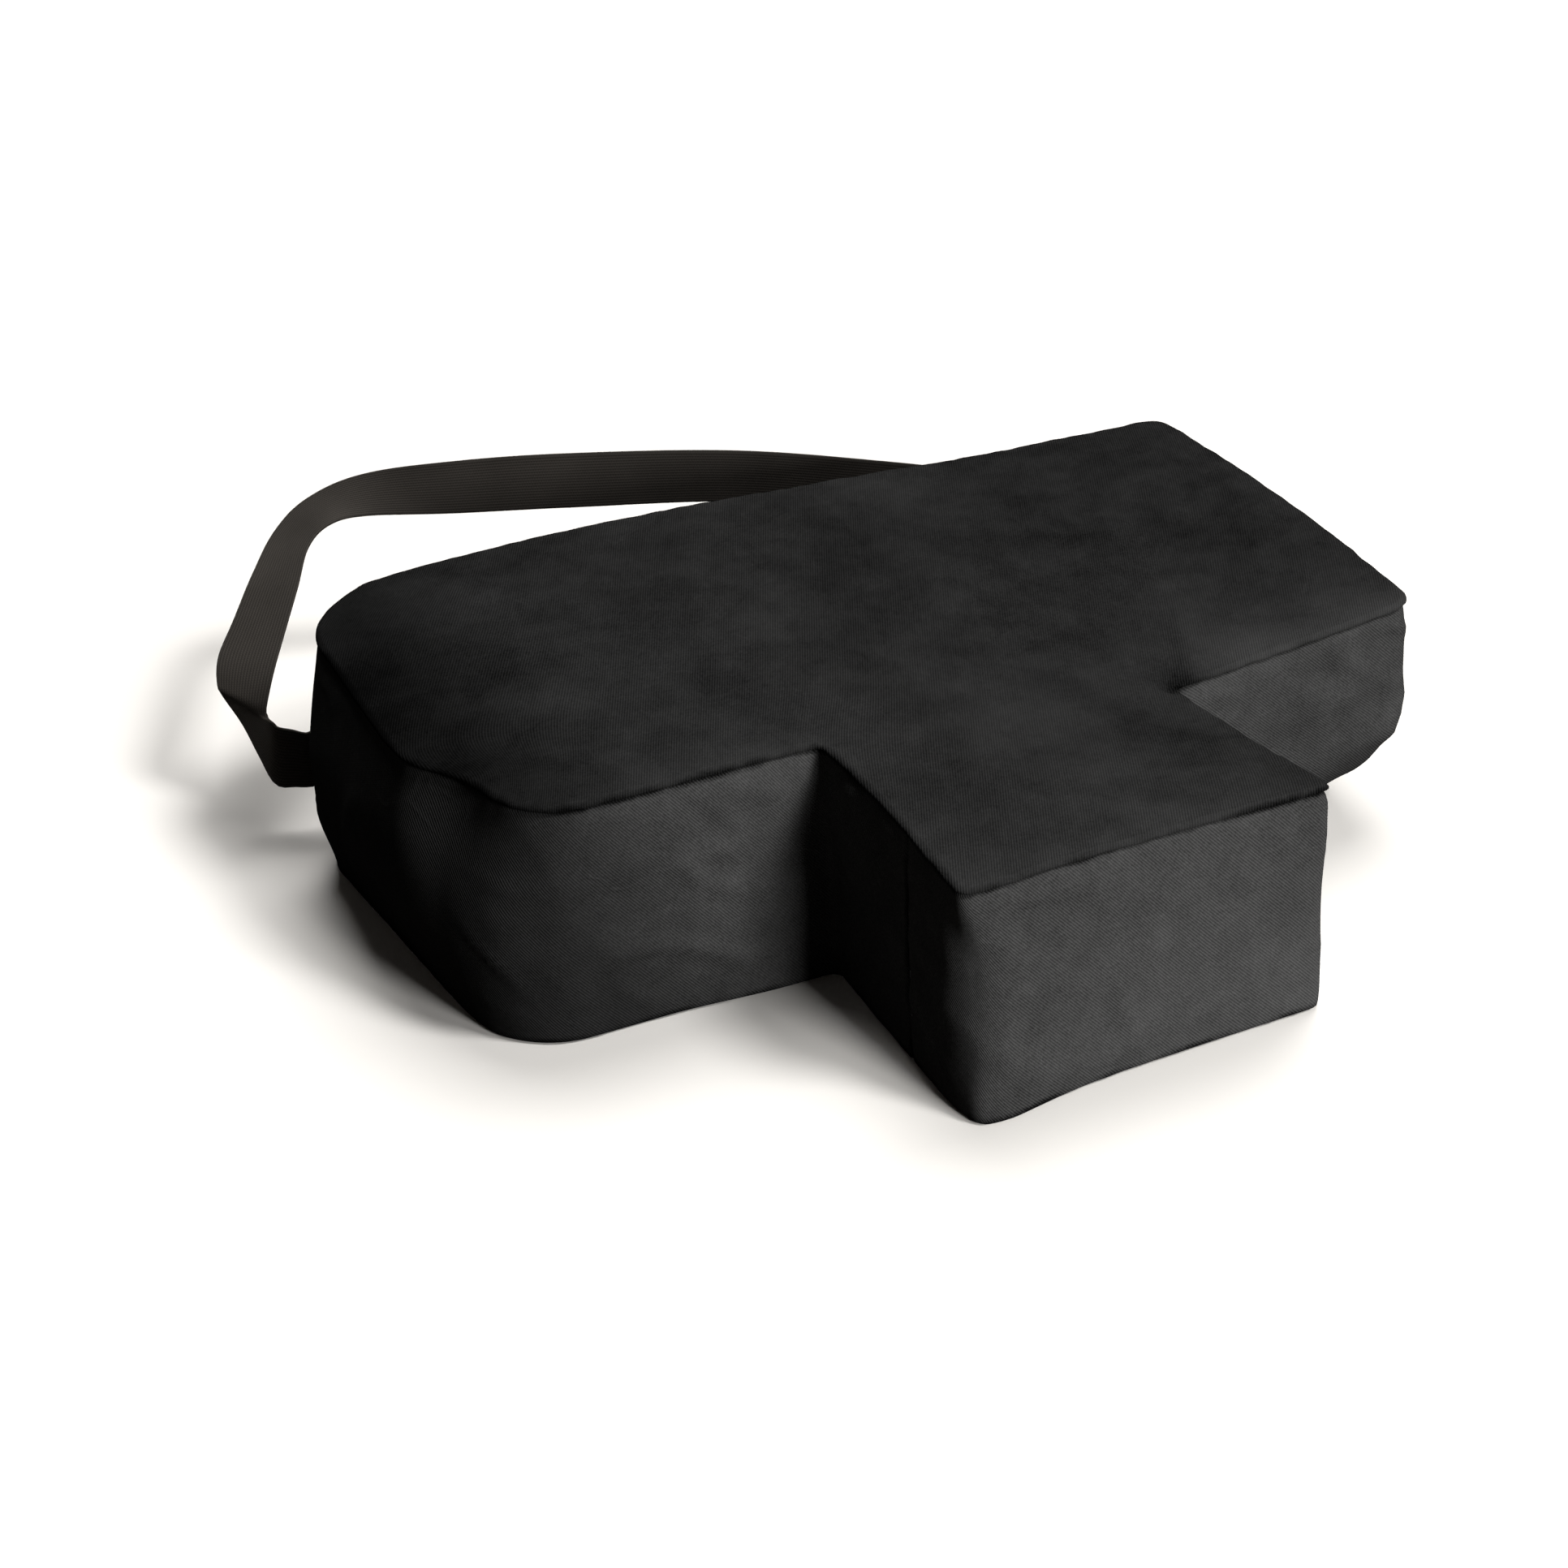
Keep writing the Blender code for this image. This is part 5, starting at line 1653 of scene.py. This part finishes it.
class BAG_OT_stage(bpy.types.Operator):
    """Set up the pale floor, the soft studio light and the camera"""

    bl_idname = "bag.stage"
    bl_label = "Stage"

    def execute(self, context):
        self.add_floor(context)
        self.add_world(context)
        self.add_sky_lamp("key_lamp", towards=(0.40, -0.50, 0.75), spread=14.0, power=1.95)
        self.add_sky_lamp("overhead_lamp", towards=(0.28, 0.38, 0.88), spread=40.0, power=2.4)
        place = (0.22, -1.35, 0.48)
        self.add_soft_box("front_lamp", place, target=(0.02, -0.18, 0.05), size=0.30, power=11.5)
        self.add_camera(context)
        context.scene.view_settings.view_transform = "Standard"
        return {"FINISHED"}

    def add_floor(self, context):
        """A pale floor that stays white to the camera, keeps the shadow and lights the bag little."""
        mesh = bpy.data.meshes.new("floor")
        reach = FLOOR_REACH
        corners = [(-reach, -reach, 0.0), (reach, -reach, 0.0), (reach, reach, 0.0), (-reach, reach, 0.0)]
        mesh.from_pydata(corners, [], [(0, 1, 2, 3)])
        floor = bpy.data.objects.new("floor", mesh)
        context.scene.collection.objects.link(floor)
        finish = Finish("studio_floor")
        tint = (*context.scene.bag_colours.floor, 1.0)
        finish.shade(base_color=tint, roughness=0.9, specular_ior_level=0.1)
        seen = finish.shown()
        dim = finish.node("ShaderNodeBsdfDiffuse", None, {"Color": (*FLOOR_BACK, 1.0)})
        pale = Value(finish, finish.tree.nodes["Principled BSDF"].outputs[0])
        mixed = finish.node("ShaderNodeMixShader", None, {0: seen, 1: dim, 2: pale})
        finish.give(finish.tree.nodes["Material Output"].inputs["Surface"], mixed)
        mesh.materials.append(finish.material)

    def add_world(self, context):
        """A dim even light, white where the camera sees it."""
        world = bpy.data.worlds.new("studio")
        world.use_nodes = True
        context.scene.world = world
        finish = Finish("studio", world.node_tree)
        seen = finish.shown()
        background = world.node_tree.nodes["Background"]
        tint = finish.ramp(seen, STUDIO_TINT, (1.0, 1.0, 1.0))
        finish.give(background.inputs["Color"], tint)
        finish.give(background.inputs["Strength"], STUDIO_LIGHT + seen * (1.0 - STUDIO_LIGHT))

    def add_sky_lamp(self, name, towards, spread, power):
        """A broad far lamp in a direction, as soft as its spread in degrees."""
        lamp = bpy.data.lights.new(name, "SUN")
        lamp.angle = math.radians(spread)
        lamp.energy = power
        made = bpy.data.objects.new(name, lamp)
        made.rotation_euler = Vector(towards).to_track_quat("Z", "Y").to_euler()
        made.location = Vector(towards) * 2.0
        bpy.context.scene.collection.objects.link(made)

    def add_soft_box(self, name, place, target, size, power):
        """A square lamp near the bag that points at a target."""
        lamp = bpy.data.lights.new(name, "AREA")
        lamp.shape = "SQUARE"
        lamp.size = size
        lamp.energy = power
        made = bpy.data.objects.new(name, lamp)
        made.location = place
        made.rotation_euler = (Vector(target) - Vector(place)).to_track_quat("-Z", "Y").to_euler()
        bpy.context.scene.collection.objects.link(made)

    def add_camera(self, context):
        """The camera at the photograph's place and angle."""
        camera = bpy.data.cameras.new("camera")
        camera.sensor_width = CAMERA_FILM
        camera.lens = CAMERA_LENS
        camera.clip_start = 0.05
        camera.clip_end = 50.0
        made = bpy.data.objects.new("camera", camera)
        aim = Vector(CAMERA_AIM).to_track_quat("-Z", "Y")
        roll = Matrix.Rotation(math.radians(CAMERA_ROLL), 4, "Z")
        made.matrix_world = Matrix.Translation(CAMERA_PLACE) @ aim.to_matrix().to_4x4() @ roll
        context.scene.collection.objects.link(made)
        context.scene.camera = made


class BAG_PT_panel(bpy.types.Panel):
    """Sizes, colours and steps of the bag"""

    bl_idname = "BAG_PT_panel"
    bl_label = "Film changing bag"
    bl_space_type = "VIEW_3D"
    bl_region_type = "UI"
    bl_category = "Bag"

    def draw(self, context):
        for group in (context.scene.bag_sizes, context.scene.bag_colours):
            column = self.layout.column(align=True)
            for key in group.bl_rna.properties.keys():
                if key not in {"rna_type", "name"}:
                    column.prop(group, key)
        for step in STEPS:
            self.layout.operator(step.bl_idname)


STEPS = (
    BAG_OT_stage,
    BAG_OT_strap,
    BAG_OT_cover,
    BAG_OT_foam,
    BAG_OT_lining,
    BAG_OT_sleeves,
    BAG_OT_zip,
)


def register():
    """Register the classes and the settings."""
    for made in (BagSizes, BagColours, *STEPS, BAG_PT_panel):
        bpy.utils.register_class(made)
    bpy.types.Scene.bag_sizes = PointerProperty(type=BagSizes)
    bpy.types.Scene.bag_colours = PointerProperty(type=BagColours)


def unregister():
    """Take the settings and the classes away again."""
    del bpy.types.Scene.bag_colours
    del bpy.types.Scene.bag_sizes
    for made in reversed((BagSizes, BagColours, *STEPS, BAG_PT_panel)):
        bpy.utils.unregister_class(made)


def main():
    """Clear the startup objects and make every piece in order."""
    for name in ("Cube", "Light", "Camera"):
        old = bpy.data.objects.get(name)
        if old is not None:
            bpy.data.objects.remove(old, do_unlink=True)
    register()
    bpy.ops.bag.stage()
    bpy.ops.bag.strap()
    bpy.ops.bag.cover()
    bpy.ops.bag.foam()
    bpy.ops.bag.lining()
    bpy.ops.bag.sleeves()
    bpy.ops.bag.zip()


if __name__ == "__main__":
    main()
